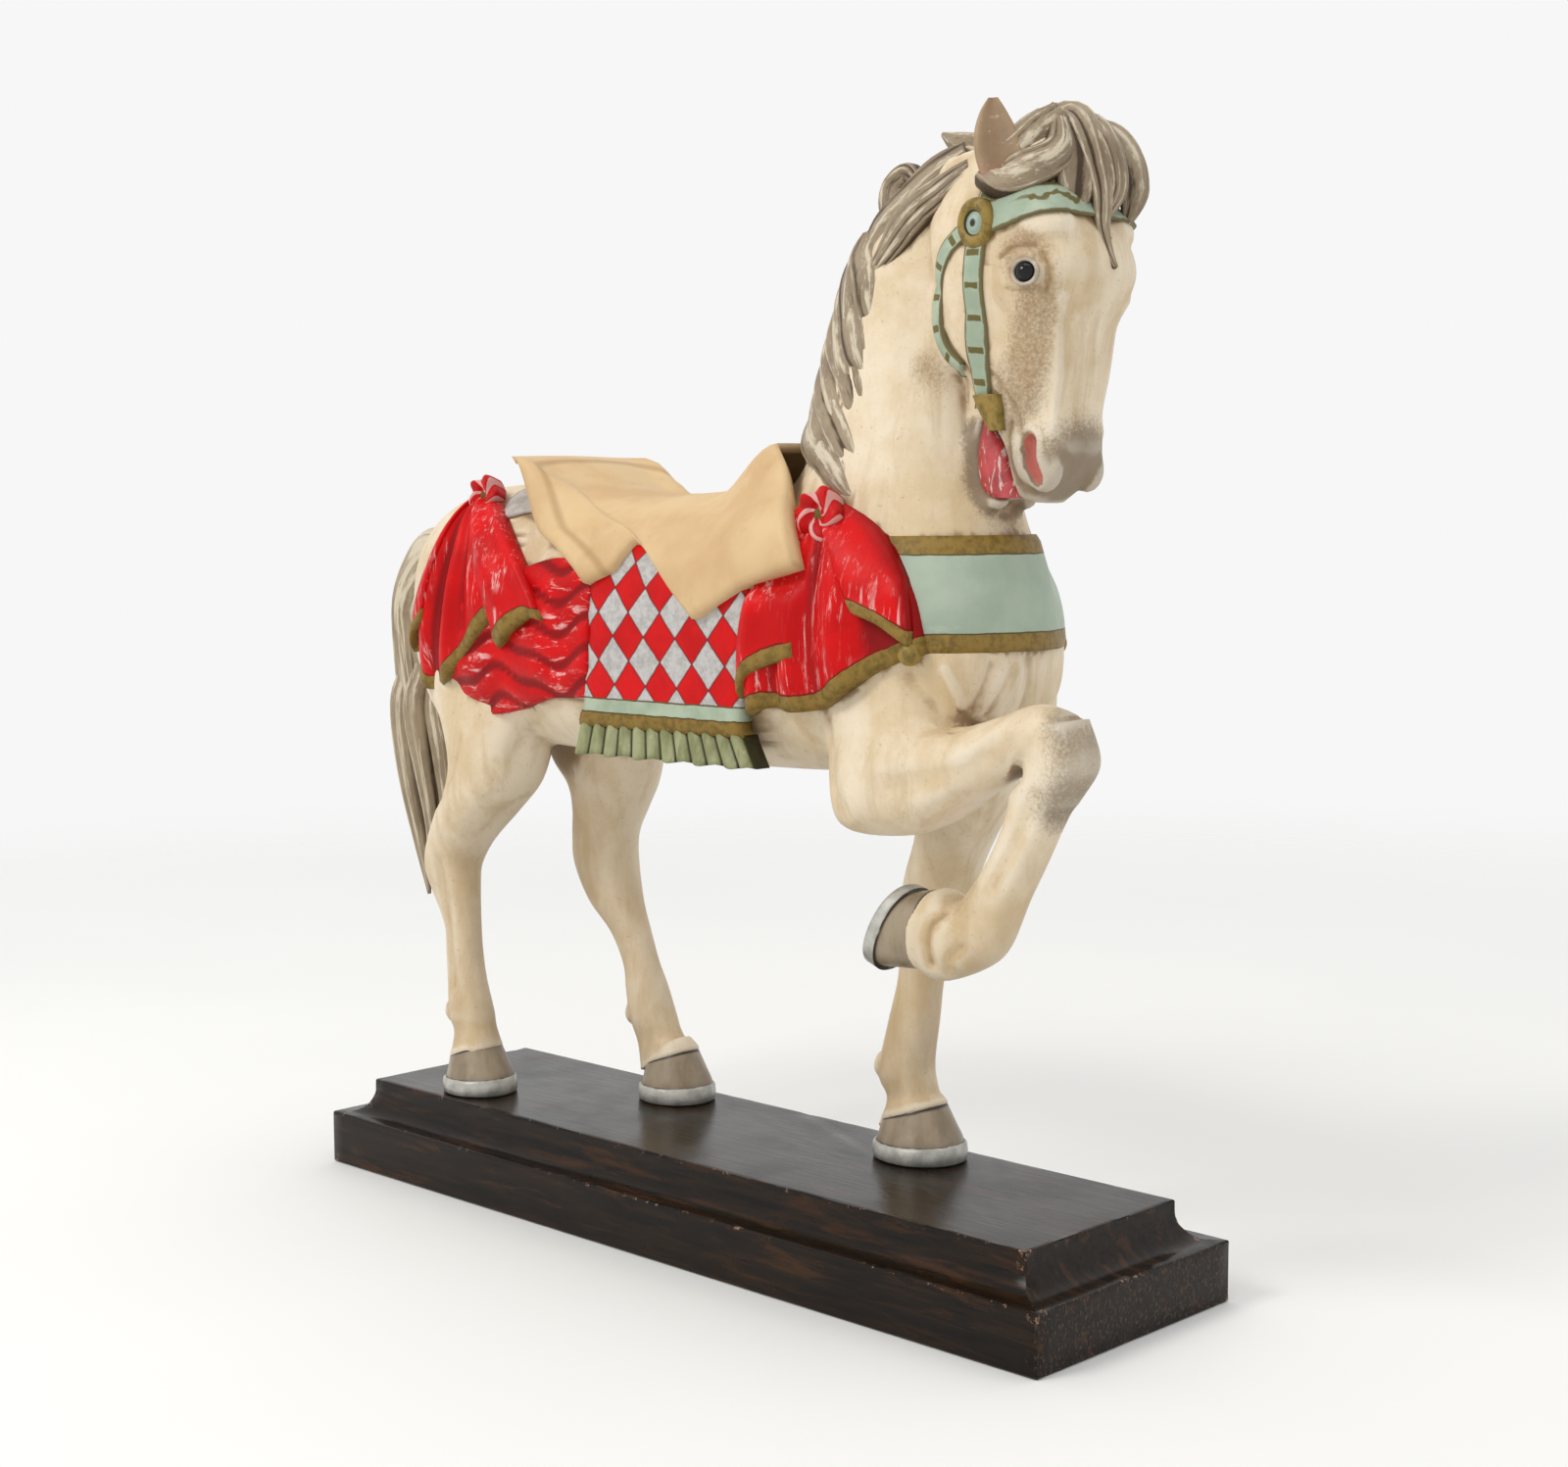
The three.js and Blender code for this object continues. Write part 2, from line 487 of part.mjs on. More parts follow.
function saddlePoint(i, j, depth) {
  const across = (2 * i) / SADDLE_COLUMNS - 1;
  const g = Math.abs(across);
  const f = j / SADDLE_ROWS;
  const x = mix(readAt(SADDLE_REAR, g)[1], readAt(SADDLE_FRONT, g)[1], f);
  const lowX = mix(SADDLE_LOW_EDGE[0][0], SADDLE_LOW_EDGE.at(-1)[0], f);
  const { middle, rise, half } = trunkAt(x);
  const lowShare = clamp((readAt(SADDLE_LOW_EDGE, lowX)[1] - middle) / rise, 0.02, 0.98);
  const angle = g * Math.acos(lowShare ** (TRUNK_SQUARE / 2));
  const z = middle + rise * Math.cos(angle) ** (2 / TRUNK_SQUARE);
  const cantle = (RIM_HEIGHT - SADDLE_THICKNESS - z) * (1 - smoothstep(0, 0.3, f))
    * (1 - smoothstep(0.5, 0.72, g));
  const pommel = (POMMEL_HEIGHT - SADDLE_THICKNESS - z) * smoothstep(0.78, 1, f)
    * (1 - smoothstep(0.32, 0.6, g));
  const flare = cantle + pommel;
  const lift = depth ? -3 + clamp(flare, 0, 3) : mix(SADDLE_THICKNESS, FLAP_LIFT, smoothstep(0.5, 0.85, g));
  const y = (half + lift) * Math.sin(angle) ** (2 / TRUNK_SQUARE);
  return [x, Math.sign(across) * y, z + lift * Math.cos(angle) + flare];
}

const saddle = () => slab(
  SADDLE_COLUMNS,
  SADDLE_ROWS,
  (i, j) => saddlePoint(i, j, 0),
  (i, j) => saddlePoint(i, j, 1),
);

// Collar: a band round the chest, rows [height, front x, half width]
const COLLAR_MIDDLE_X = 104;
const COLLAR_SQUARE = 2.1;
const COLLAR = [[241, 159, 43.5], [262, 155, 40], [282, 149, 35.5]];

function collar() {
  const columns = 18;
  const rows = 3;
  const point = (i, j, depth) => {
    const z = mix(COLLAR[0][0], COLLAR.at(-1)[0], j / rows);
    const [, front, half] = readAt(COLLAR, z);
    const angle = mix(-0.47, 0.47, i / columns) * Math.PI;
    const edge = j === 0 || j === rows ? 0.6 : 0;
    const size = depth ? -6 : -edge;
    return [
      COLLAR_MIDDLE_X + (front - COLLAR_MIDDLE_X + size) * power(Math.cos(angle), 2 / COLLAR_SQUARE),
      (half + size) * power(Math.sin(angle), 2 / COLLAR_SQUARE),
      z,
    ];
  };
  return slab(columns, rows, (i, j) => point(i, j, 0), (i, j) => point(i, j, 1));
}

// Bridle: straps lying on the head
const HEAD_SQUARE = 3.2;

function headAt(z) {
  const [, front, back, half] = readAt(
    HEAD.map((r) => [(r[1] + r[3]) / 2, r[0], r[2], r[4]]).reverse(),
    z,
  );
  return { middle: (front + back) / 2, reach: (front - back) / 2, half };
}

function headSide(x, z) {
  const { middle, reach, half } = headAt(z);
  const share = clamp(Math.abs((x - middle) / reach), 0, 0.97);
  return half * (1 - share ** HEAD_SQUARE) ** (1 / HEAD_SQUARE);
}

const STRAP_PROUD = 1.5;

// A strap over the side of the head, through points [x, z], with one half width
function sideStrap(points, halfWidth, proud = STRAP_PROUD, reach = headSide) {
  const fine = refine(points, 3);
  const along = (i) => {
    const [p, q] = [fine[Math.max(0, i - 1)], fine[Math.min(fine.length - 1, i + 1)]];
    const length = Math.hypot(q[0] - p[0], q[1] - p[1]);
    return [(q[0] - p[0]) / length, (q[1] - p[1]) / length];
  };
  const point = (i, j, depth) => {
    const [dx, dz] = along(i);
    const offset = (j - 1) * halfWidth;
    const x = fine[i][0] - dz * offset;
    const z = fine[i][1] + dx * offset;
    return [x, -(reach(x, z) + (depth ? -3 : proud)), z];
  };
  return slab(fine.length - 1, 2, (i, j) => point(i, j, 0), (i, j) => point(i, j, 1));
}

const BROWBAND = [[-1, 390], [-0.5, 396], [0, 396], [0.5, 394], [1, 388]];
const BROWBAND_HALF_WIDTH = 4.6;

function browband() {
  const columns = 16;
  const point = (i, j, depth) => {
    const share = (2 * i) / columns - 1;
    const z = readAt(BROWBAND, share)[1] + (j - 0.5) * 2 * BROWBAND_HALF_WIDTH;
    const { middle, reach, half } = headAt(z);
    const size = depth ? -3 : STRAP_PROUD + 0.4;
    const angle = (share * Math.PI) / 2;
    return [
      middle + (reach + size) * power(Math.cos(angle), 2 / HEAD_SQUARE),
      (half + size) * power(Math.sin(angle), 2 / HEAD_SQUARE),
      z,
    ];
  };
  return slab(columns, 1, (i, j) => point(i, j, 0), (i, j) => point(i, j, 1));
}

// Half width where the throat strap lies, over the round of the cheek
const CHEEK = { centre: [143, -15, 360], sizes: [20, 10, 22] };

function cheekSide(x, z) {
  const [dx, dz] = [(x - CHEEK.centre[0]) / CHEEK.sizes[0], (z - CHEEK.centre[2]) / CHEEK.sizes[2]];
  const round = CHEEK.sizes[1] * Math.sqrt(Math.max(0, 1 - dx * dx - dz * dz)) - CHEEK.centre[1];
  return Math.max(headSide(x, z), round);
}

// Horse parts, gathered from the ground up

function legs() {
  return [
    limb(NEAR_HIND), limb(FAR_HIND), limb(FORE_STANDING), limb(FOREARM), limb(CANNON),
    limb(RAISED_HOOF, { segments: 14 }), limb(RAISED_SHOE, { segments: 14 }),
    ...HOOVES.flatMap(hoof),
  ];
}

function body() {
  return [
    limb(TRUNK, { segments: 22, steps: 1, square: TRUNK_SQUARE }),
    limb(NECK, { segments: 18, steps: 1, square: 2.1 }),
    ...bothSides(lump([118, -24, 222], [26, 18, 34], 14)),
    ...bothSides(lump([-128, -26, 240], [36, 21, 48], 14)),
  ];
}

function head() {
  return [
    limb(HEAD, { segments: 16, steps: 2, square: HEAD_SQUARE }),
    limb(JAW, { segments: 12, steps: 1, square: 2.6 }),
    ...bothSides(lump(CHEEK.centre, CHEEK.sizes, 14)),
    ...bothSides(lump([172, -15.5, 386], [13, 11, 9], 12)),
    lump([163, 0, 408], [16, 20, 14], 14),
    ...bothSides(lump([170, -11.5, 306], [7, 5, 9], 12)),
    ...bothSides(lock(NEAR_EAR, [0.5, -0.85, 0], 1)),
  ];
}

function hair() {
  const side = [0, -1, 0.25];
  const farSide = [0, 1, 0.25];
  return [
    limb(TAIL, { segments: 28, steps: 1, square: 2.2, lobes: 7, lobeDepth: 0.07 }),
    ...TAIL_LOCKS.map((rows) => lock(rows, [0, Math.sign(rows[0][1]) || -1, 0])),
    limb(MANE_RIDGE, { segments: 10, steps: 1 }),
    ...NEAR_LOCKS.map((rows) => lock(rows, side)),
    ...FAR_LOCKS.map((rows) => lock(rows, farSide)),
    lock(POLL_LOCK, [0, -1, 0]),
    lock(CURL, [0, -1, 0]),
    ...FORELOCK.map((rows) => lock(rows, [0.8, -0.3, 0.5])),
  ];
}

function cloths() {
  const parts = [saddle(), collar()];
  for (const side of [-1, 1]) {
    parts.push(drape(REAR_SWAG, side), drape(REAR_DRAPE, side), drape(REAR_DRAPE_FRONT, side));
    parts.push(drape(FRONT_DRAPE, side), panel(side), fringe(side));
    parts.push(rosette([-112, side * 34, 299], 8));
    parts.push(rosette([81, side * 40, 294], 9.5));
    parts.push(lump([133, side * 41, 241], [4.5, 4.5, 4.5], 8));
  }
  return parts;
}

function bridle() {
  return [
    browband(),
    ...bothSides(sideStrap([[151, 388], [149.5, 366], [147.5, 345], [145, 328]], 4.4, 1.5, cheekSide)),
    ...bothSides(sideStrap([[148, 388], [138, 376], [131, 362], [130, 350], [135, 342]], 3, 1.2, cheekSide)),
    ...bothSides(sideStrap([[152, 390], [154, 399], [157, 405]], 4)),
    ...bothSides(sideStrap([[145, 330], [145, 326], [145, 320]], 5.6, 3)),
    ...bothSides(lump([151, -25, 389], [7.5, 3.4, 9], 14)),
  ];
}

const EYE_PLACE = [173, 26, 371];

function horseSolid() {
  const all = [...body(), ...legs(), ...head(), ...hair(), ...cloths(), ...bridle()];
  const holes = [-1, 1].flatMap((side) => {
    const socket = EYE_DIAMETER / 2 / FIGURE_SCALE + SOCKET_GAP / FIGURE_SCALE;
    const place = [EYE_PLACE[0], side * EYE_PLACE[1], EYE_PLACE[2]];
    return [
      lump(place, [socket, socket, socket], SOCKET_SEGMENTS),
      lump([174, side * 14.5, 307], [2.4, 3.5, 6.5], 10),
    ];
  });
  const onTheGround = (solid) => solid.translate([0, 0, -DRAWN_SOLE]).scale(FIGURE_SCALE);
  let solid = onTheGround(Manifold.union(all));
  for (let pass = 0; pass < 3; pass += 1) {
    solid = solid.asOriginal().simplify(FACET_TOLERANCE);
  }
  // The sockets are cut last, so that the beads keep their gap
  solid = solid.subtract(onTheGround(Manifold.union(holes)));
  // Small hollows shut in between overlapping parts are filled: only the outer skin is kept
  const skins = solid.decompose();
  skins.sort((a, b) => b.volume() - a.volume());
  return skins[0];
}

// Meshes

function geometryOf(solid) {
  const mesh = solid.getMesh();
  const geometry = new THREE.BufferGeometry();
  const points = new Float32Array(mesh.numVert * 3);
  for (let i = 0; i < mesh.numVert; i += 1) {
    for (let n = 0; n < 3; n += 1) {
      points[i * 3 + n] = mesh.vertProperties[i * mesh.numProp + n];
    }
  }
  geometry.setAttribute('position', new THREE.BufferAttribute(points, 3));
  geometry.setIndex([...mesh.triVerts]);
  geometry.computeVertexNormals();
  return geometry;
}

function piece(name, geometry, color, roughness, metalness = 0) {
  const mesh = new THREE.Mesh(geometry, new THREE.MeshStandardMaterial({ color, roughness, metalness }));
  mesh.name = name;
  return mesh;
}

// Plinth: square rings from the underside to the top, the cove a quarter circle between them
function plinthSolid() {
  const ring = (step, z) => {
    const x = PLINTH_LENGTH / 2 - step * END_STEP;
    const y = PLINTH_WIDTH / 2 - step * SIDE_STEP;
    return [[x, -y, z], [x, y, z], [-x, y, z], [-x, -y, z]];
  };
  const ledge = LEDGE / SIDE_STEP;
  const coveHeight = PLINTH_HEIGHT - BLOCK_HEIGHT - LIP_HEIGHT;
  const rings = [ring(0, 0), ring(0, BLOCK_HEIGHT)];
  for (let i = 0; i <= COVE_STEPS; i += 1) {
    const angle = (i / COVE_STEPS) * (Math.PI / 2);
    const step = mix(ledge, 1, Math.sin(angle));
    rings.push(ring(step, BLOCK_HEIGHT + coveHeight * (1 - Math.cos(angle))));
  }
  rings.push(ring(1, PLINTH_HEIGHT));
  return skinOver(rings);
}

const object = new THREE.Group();
object.add(piece('plinth', geometryOf(plinthSolid()), 0x2b1712, 0.45));

const figure = new THREE.Group();
figure.position.z = PLINTH_HEIGHT + REST_GAP;
figure.add(piece('horse', geometryOf(horseSolid()), 0xe9dcc0, 0.6));
for (const [name, side] of [['eye_right', -1], ['eye_left', 1]]) {
  const bead = piece(name, new THREE.SphereGeometry(EYE_DIAMETER / 2, 12, 8), 0x0b0a0c, 0.1);
  bead.position.set(EYE_PLACE[0], side * EYE_PLACE[1], EYE_PLACE[2] - DRAWN_SOLE);
  bead.position.multiplyScalar(FIGURE_SCALE);
  figure.add(bead);
}
object.add(figure);

export default object;
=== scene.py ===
"""Carved and painted carousel horse on a moulded wooden plinth.

Lengths are in millimetres until a mesh is made.
"""

import bpy
import math
import numpy as np
from mathutils import Matrix, Vector
from mathutils.bvhtree import BVHTree
from mathutils.kdtree import KDTree


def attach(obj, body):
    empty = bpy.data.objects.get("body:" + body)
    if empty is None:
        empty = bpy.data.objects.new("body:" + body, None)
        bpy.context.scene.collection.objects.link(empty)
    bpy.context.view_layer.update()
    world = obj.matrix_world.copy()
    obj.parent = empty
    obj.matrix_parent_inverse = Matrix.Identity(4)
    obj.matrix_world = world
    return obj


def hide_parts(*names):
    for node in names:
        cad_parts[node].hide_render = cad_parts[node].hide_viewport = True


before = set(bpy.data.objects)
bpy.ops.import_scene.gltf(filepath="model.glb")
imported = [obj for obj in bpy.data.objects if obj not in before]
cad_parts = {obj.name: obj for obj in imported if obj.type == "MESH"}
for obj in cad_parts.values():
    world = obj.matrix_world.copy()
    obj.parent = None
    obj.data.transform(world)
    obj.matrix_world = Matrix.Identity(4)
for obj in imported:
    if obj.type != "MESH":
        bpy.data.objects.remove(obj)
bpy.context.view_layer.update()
SEED = 7
MM = 0.001

# Sizes shared with the solids
PLINTH_LENGTH = 405
PLINTH_WIDTH = 113
PLINTH_HEIGHT = 38.1
BLOCK_HEIGHT = 23.2
SIDE_STEP = 12.8
END_STEP = 15.1
LEDGE = 4.2
LIP_HEIGHT = 3.6
SOLE = 38.4
TRUNK_SQUARE = 2.5
HEAD_SQUARE = 3.2
PANEL_Y = 45.5
FRINGE_TOP = 207
FRINGE_LOW = 196
TASSELS = 12
DRAPE_FLOOR = 39
EYE_PLACE = (173, 26, 371)
EYE_RADIUS = 3.8

# Limbs: rows [front x, front z, back x, back z, half width, y of the middle]
TRUNK = [
    [-171, 268, -172, 240, 16, 0], [-166, 284, -168, 222, 29, 0], [-152, 296, -157, 208, 40, 0],
    [-130, 303, -130, 198, 46, 0], [-100, 303, -100, 193, 47, 0], [-60, 298, -60, 191, 46, 0],
    [-20, 295, -20, 190, 46, 0], [20, 297, 20, 191, 46, 0], [60, 303, 60, 192, 46, 0],
    [95, 302, 95, 194, 45, 0], [120, 292, 122, 200, 41.5, 0], [138, 280, 142, 209, 35, 0],
    [148.5, 266, 151, 219, 24, 0], [154.5, 254, 156, 232, 11, 0],
]
NECK = [
    [152, 250, 36, 290, 38, 0], [151, 266, 48, 303, 36, 0], [145, 283, 58, 316, 33, 0],
    [139, 303, 64, 334, 29, 0], [136, 323, 70, 355, 25.5, 0], [134, 342, 80, 379, 22.5, 0],
    [138, 362, 92, 399, 20, 0], [148, 386, 112, 412, 17, 0],
]
HEAD = [
    [150, 419, 117, 413, 13, 0], [169, 409, 117, 399, 20, 0], [181, 392, 120, 384, 26, 0],
    [189, 373, 125, 366, 28, 0], [181.5, 355, 130, 350, 23, 0], [179.5, 339, 134, 338, 20, 0],
    [177.5, 324, 141, 326, 16.5, 0], [178.5, 311, 150, 314, 16, 0], [173, 301, 153, 303, 14, 0],
    [164, 293, 154, 296, 9, 0],
]
JAW = [
    [150, 346, 132, 344, 13, 0], [145, 330, 131, 328, 11, 0], [143, 314, 131.5, 312, 10, 0],
    [146, 302, 133, 299, 9.5, 0], [149, 295, 138, 291.5, 6.5, 0],
]
NEAR_HIND = [
    [-84, 250, -160, 256, 16, -20], [-82, 222, -160, 226, 21, -23], [-90, 196, -146, 204, 21, -25],
    [-98, 177, -142, 182, 18.5, -25], [-112, 164, -153, 162, 16.5, -25],
    [-128, 150, -163, 145, 13, -25], [-136, 139, -165, 135, 11, -25], [-137, 130, -162, 127, 9.5, -25],
    [-136, 113, -154, 111, 7.2, -25], [-135, 100, -153, 98, 7, -25], [-133, 88, -152, 83, 7.5, -25],
    [-129, 74, -151, 71, 8.7, -25], [-127.5, 67, -148, 63, 8.3, -24.8], [-125, 59, -151, 50, 10.5, -24.5],
]
FAR_HIND = [
    [-70, 250, -150, 250, 16, 20], [-66, 222, -148, 222, 21, 23], [-73, 192, -134, 186, 21, 25],
    [-78, 175, -122, 172, 18, 25], [-84, 163, -120, 161, 15.5, 25], [-89, 152, -122, 148, 13, 25],
    [-90, 141, -121, 136, 12.5, 25], [-86, 121, -113, 121, 10.5, 25], [-80, 108, -100, 108, 7.8, 25],
    [-75, 96, -92, 94, 7, 25], [-70, 86, -90, 83, 8, 25], [-65, 74, -87, 71, 9, 24.8],
    [-61, 67, -82, 60, 8.4, 24.6], [-54, 59, -79, 48, 10.5, 24.6],
]
FORE_STANDING = [
    [138, 235, 84, 225, 16, 20], [131, 205, 84, 190, 19, 23], [121, 181, 84, 168, 17, 24],
    [110, 160, 76, 146, 14, 24], [98, 130, 73, 125, 10, 24], [91, 112, 71, 109, 7.6, 24],
    [88, 94, 66, 91, 8.4, 24], [85, 76, 61, 70, 9.4, 24], [87, 66, 65, 60, 8.4, 24.2],
    [89, 59, 61, 48, 11, 24.3],
]
FOREARM = [
    [112, 250, 84, 212, 15, -24], [127, 226, 90, 184, 20, -28], [142, 216, 99, 174.5, 20, -30],
    [156, 217, 125, 175, 18, -30], [170, 221, 142, 181, 17, -30], [183, 225, 157, 191, 15, -30],
    [197, 222, 172, 199, 11.5, -30],
]
CANNON = [
    [201, 221, 176, 212, 10, -30], [206, 206, 178, 201, 11, -30], [198, 193, 172, 194, 9.7, -30],
    [193, 187, 169, 184, 9, -30], [184, 170, 161, 169, 8.7, -30], [176, 156, 152, 157, 9.6, -30],
    [167, 138, 146, 153, 10.4, -30], [157, 130, 141, 157, 11.5, -30], [140, 124, 138, 157, 12.5, -30],
    [131, 127, 132, 155, 12.5, -30],
]
RAISED_HOOF = [
    [134, 126, 137, 156, 12, -30], [130, 127, 133, 156, 12.4, -30], [112, 126, 126, 154.5, 13, -30],
]
RAISED_SHOE = [
    [112.5, 124.5, 127, 156, 13.8, -30], [107.5, 126.5, 122.5, 157, 14, -30],
]
# Hooves on the plinth: x, y, half length, half width
HOOVES = [[-135.5, -24.5, 16.2, 14.8], [-61, 24.6, 16.6, 15], [79.5, 24.3, 18.6, 16.2]]
TAIL = [
    [-156, 281, -154, 262, 7, 0], [-172, 285, -166, 260, 10, 0], [-193, 285, -180, 258, 11.5, 0],
    [-205, 275, -188, 252, 12.5, 0], [-214, 258, -192, 245, 13, 0], [-216, 239, -191, 233, 13, 0],
    [-214, 212, -187, 210, 12.5, 0], [-213, 190, -181, 190, 11, 0], [-208, 172, -182, 176, 8, 0],
]
# Locks of hair: rows [x, y, z, half width, half thickness]
TAIL_LOCKS = [
    [[-211, 2, 205, 6, 7], [-208, 3, 180, 5, 5], [-206, 4, 153, 1, 1]],
    [[-206, -9, 205, 6, 6], [-202, -9, 170, 5, 5], [-198, -7, 140, 3.6, 3.6], [-195, -5, 117, 0.8, 0.8]],
    [[-195, -10, 205, 6, 6], [-190, -9, 175, 5, 5], [-190, -7, 150, 3.4, 3.4], [-193, -6, 126, 0.8, 0.8]],
    [[-186, -6, 205, 5, 6], [-179, -7, 182, 5, 5], [-180, -6, 160, 3.4, 3], [-186, -5, 136, 0.8, 0.8]],
    [[-203, 10, 205, 6, 6], [-198, 10, 172, 5, 5], [-196, 8, 146, 3.4, 3.4], [-195, 5, 124, 0.8, 0.8]],
    [[-190, 9, 205, 6, 6], [-185, 9, 178, 5, 5], [-184, 7, 154, 3.4, 3.4], [-187, 5, 134, 0.8, 0.8]],
]
MANE_RIDGE = [
    [63, 313, 49, 305, 12, 0], [68, 332, 55, 324, 10, 0], [74, 354, 61, 348, 9, 0],
    [81, 374, 68, 370, 8.5, 0], [93, 393, 79, 392, 8, 0], [107, 406, 95, 407, 8, 0],
    [125, 415, 111, 418, 8, 0], [143, 419, 133, 424, 8, 0],
]
NEAR_LOCKS = [
    [[87, -7, 392, 4, 4], [88, -13, 381, 5.5, 4.5], [94, -18, 370, 5, 4], [101, -20, 352, 1, 1.4]],
    [[78, -5, 384, 4, 4], [82, -13, 368, 6, 5], [92, -20, 352, 5.5, 4.5], [104, -23, 331, 1, 1.4]],
    [[69, -4, 366, 4, 4], [79, -15, 350, 6.5, 5], [93, -22, 335, 6, 5], [105, -25, 313, 1, 1.4]],
    [[63, -4, 348, 4, 4], [74, -17, 332, 6.5, 5.5], [91, -25, 318, 6, 5], [106, -29, 298, 1, 1.4]],
    [[58, -4, 330, 4, 4], [69, -18, 316, 6.5, 5.5], [87, -28, 306, 5.5, 4.5], [103, -32, 294, 1, 1.4]],
    [[133, -8, 416, 4, 4], [111, -11, 404, 6, 5], [95, -10, 391, 5.5, 5], [75, -6, 373, 1.4, 1.6]],
    [[139, -14, 410, 3, 3], [121, -18, 400, 5, 4], [107, -18, 386, 5, 4], [87, -14, 375, 1.2, 1.4]],
]
FAR_LOCKS = [
    [[98, 7, 404, 4, 4], [92, 16, 386, 6.5, 4.5], [98, 20, 366, 6, 4], [106, 22, 346, 1, 1.4]],
    [[70, 5, 372, 4, 4], [78, 16, 350, 7, 5], [90, 22, 332, 6, 4.5], [102, 26, 312, 1, 1.4]],
    [[56, 4, 338, 4, 4], [68, 18, 322, 7, 5], [84, 27, 308, 6, 4.5], [100, 32, 294, 1, 1.4]],
]
POLL_LOCK = [[151, -6, 416, 6, 6], [137, -4, 418, 5.5, 6], [125, -2, 421, 4.5, 5], [114, 0, 426, 1, 1.4]]
CURL = [
    [113, -6, 400, 5, 6], [103, -4, 397, 6, 6], [93, -2, 401, 6, 6], [91, 0, 409, 5, 6],
    [97, 1, 414, 4, 5.5], [102, 1, 410, 2, 4],
]
FORELOCK = [
    [[151, -21, 405, 4, 4], [160, -22, 402.5, 5.5, 5], [168, -18, 406, 6, 5.5], [173, -10, 413, 5, 5],
      [170, -4, 423, 3, 4]],
    [[148, -14, 407, 6, 6], [160, -14, 412, 7, 7], [165, -8, 421, 6, 6], [168, -2, 427, 4, 5]],
    [[156, -2, 417, 8, 8], [166, -2, 423, 7, 6], [175, -3, 414, 7, 5], [178, -5, 401, 6, 4],
      [178, -7, 394, 3, 2]],
    [[158, 3, 419, 7, 8], [169, 4, 425, 6, 6], [178, 3, 415, 5, 5], [182, 2, 401, 4, 4.5],
      [181, 2, 387, 2.6, 4], [182, 2, 373, 0.8, 1.4]],
    [[158, 8, 417, 7, 7], [171, 9, 422, 6, 6], [181, 8, 414, 5, 5], [184, 7, 401, 4, 4.5],
      [182, 5, 390, 1.6, 3], [180, 4, 383, 0.8, 1.4]],
    [[156, 13, 414, 7, 7], [172, 15, 419, 7, 6], [182, 17, 411, 6, 5], [185, 18, 401, 5, 4.5],
      [182, 17, 390, 1.4, 2]],
]
NEAR_EAR = [
    [162, -18, 396, 9, 7], [160.5, -20.5, 404, 11, 6.5], [158, -21.5, 412, 11, 5.4],
    [155.5, -21, 420, 9.4, 4.4],
    [154, -20.5, 427, 6, 3], [153.5, -20, 432, 2.2, 1.6],
]
# Cloths: threads of [x, z, height above the body], from the knot to the hem
REAR_DRAPE = [
    [[-121, 300, 5], [-130, 276, 4], [-141, 250, 4], [-150, 223, 4]],
    [[-120, 301, 7], [-125, 276, 6], [-134, 247, 6], [-143, 217, 6]],
    [[-119, 301, 6], [-120, 276, 3], [-126, 247, 3], [-134, 217, 4]],
    [[-118, 301, 8], [-114, 278, 6], [-116, 250, 7], [-122, 222, 7]],
    [[-117, 301, 7], [-109, 279, 4], [-108, 256, 4], [-109, 231, 5]],
    [[-116, 301, 8], [-104, 281, 7], [-99, 261, 7], [-95, 242, 7]],
    [[-115, 301, 7], [-100, 283, 5], [-91, 266, 5], [-85, 251, 5]],
]
REAR_DRAPE_FRONT = [
    [[-119, 300, 7], [-106, 280, 6], [-95, 258, 6], [-84, 236, 6]],
    [[-117, 301, 9], [-101, 283, 9], [-86, 262, 9], [-74, 243, 9]],
    [[-115, 301, 8], [-95, 285, 7], [-78, 266, 7], [-63, 249, 7]],
    [[-113, 301, 9], [-92, 288, 8], [-73, 271, 8], [-55, 248, 7]],
]
REAR_SWAG = [
    [[-118, 258, 2], [-124, 238, 3], [-124, 219, 3]],
    [[-100, 262, 3], [-104, 232, 5], [-104, 208, 4]],
    [[-80, 266, 3], [-84, 236, 3], [-84, 210, 4]],
    [[-62, 272, 3], [-62, 240, 5], [-60, 216, 4]],
    [[-46, 273, 3], [-46, 242, 3], [-46, 217, 4]],
    [[-30, 268, 3], [-30, 244, 4], [-32, 218, 4]],
]
FRONT_DRAPE = [
    [[83, 290, 4], [66, 274, 4], [59, 245, 5], [56, 215, 5]],
    [[85, 291, 6], [73, 274, 7], [66, 246, 7], [63, 218, 7]],
    [[87, 292, 5], [80, 274, 3], [74, 246, 4], [71, 219, 4]],
    [[88, 293, 7], [86, 274, 6], [83, 246, 7], [82, 218, 7]],
    [[89, 293, 5], [92, 275, 3], [92, 248, 4], [94, 220, 4]],
    [[90, 294, 7], [99, 278, 6], [104, 252, 7], [106, 226, 7]],
    [[91, 294, 5], [106, 281, 3], [116, 260, 3], [121, 235, 4]],
    [[92, 294, 4], [114, 285, 3], [132, 262, 3], [138, 241, 4]],
]
PANEL_EDGES = [[280, -30, 60], [240, -31, 58], [213, -35, 54], [207, -37, 56], [196, -39, 64]]
SADDLE_LOW_EDGE = [
    [-31, 262], [-16, 267], [-9, 278], [3, 273], [19, 261], [34, 250], [45, 256], [58, 262], [88, 269],
]
SADDLE_REAR = [[0, -97], [0.4, -98], [0.62, -77], [0.8, -52], [0.92, -38], [1, -31]]
SADDLE_FRONT = [[0, 47], [0.3, 50], [0.5, 66], [0.75, 78], [1, 88]]
COLLAR = [[241, 159, 43.5], [262, 155, 40], [282, 149, 35.5]]
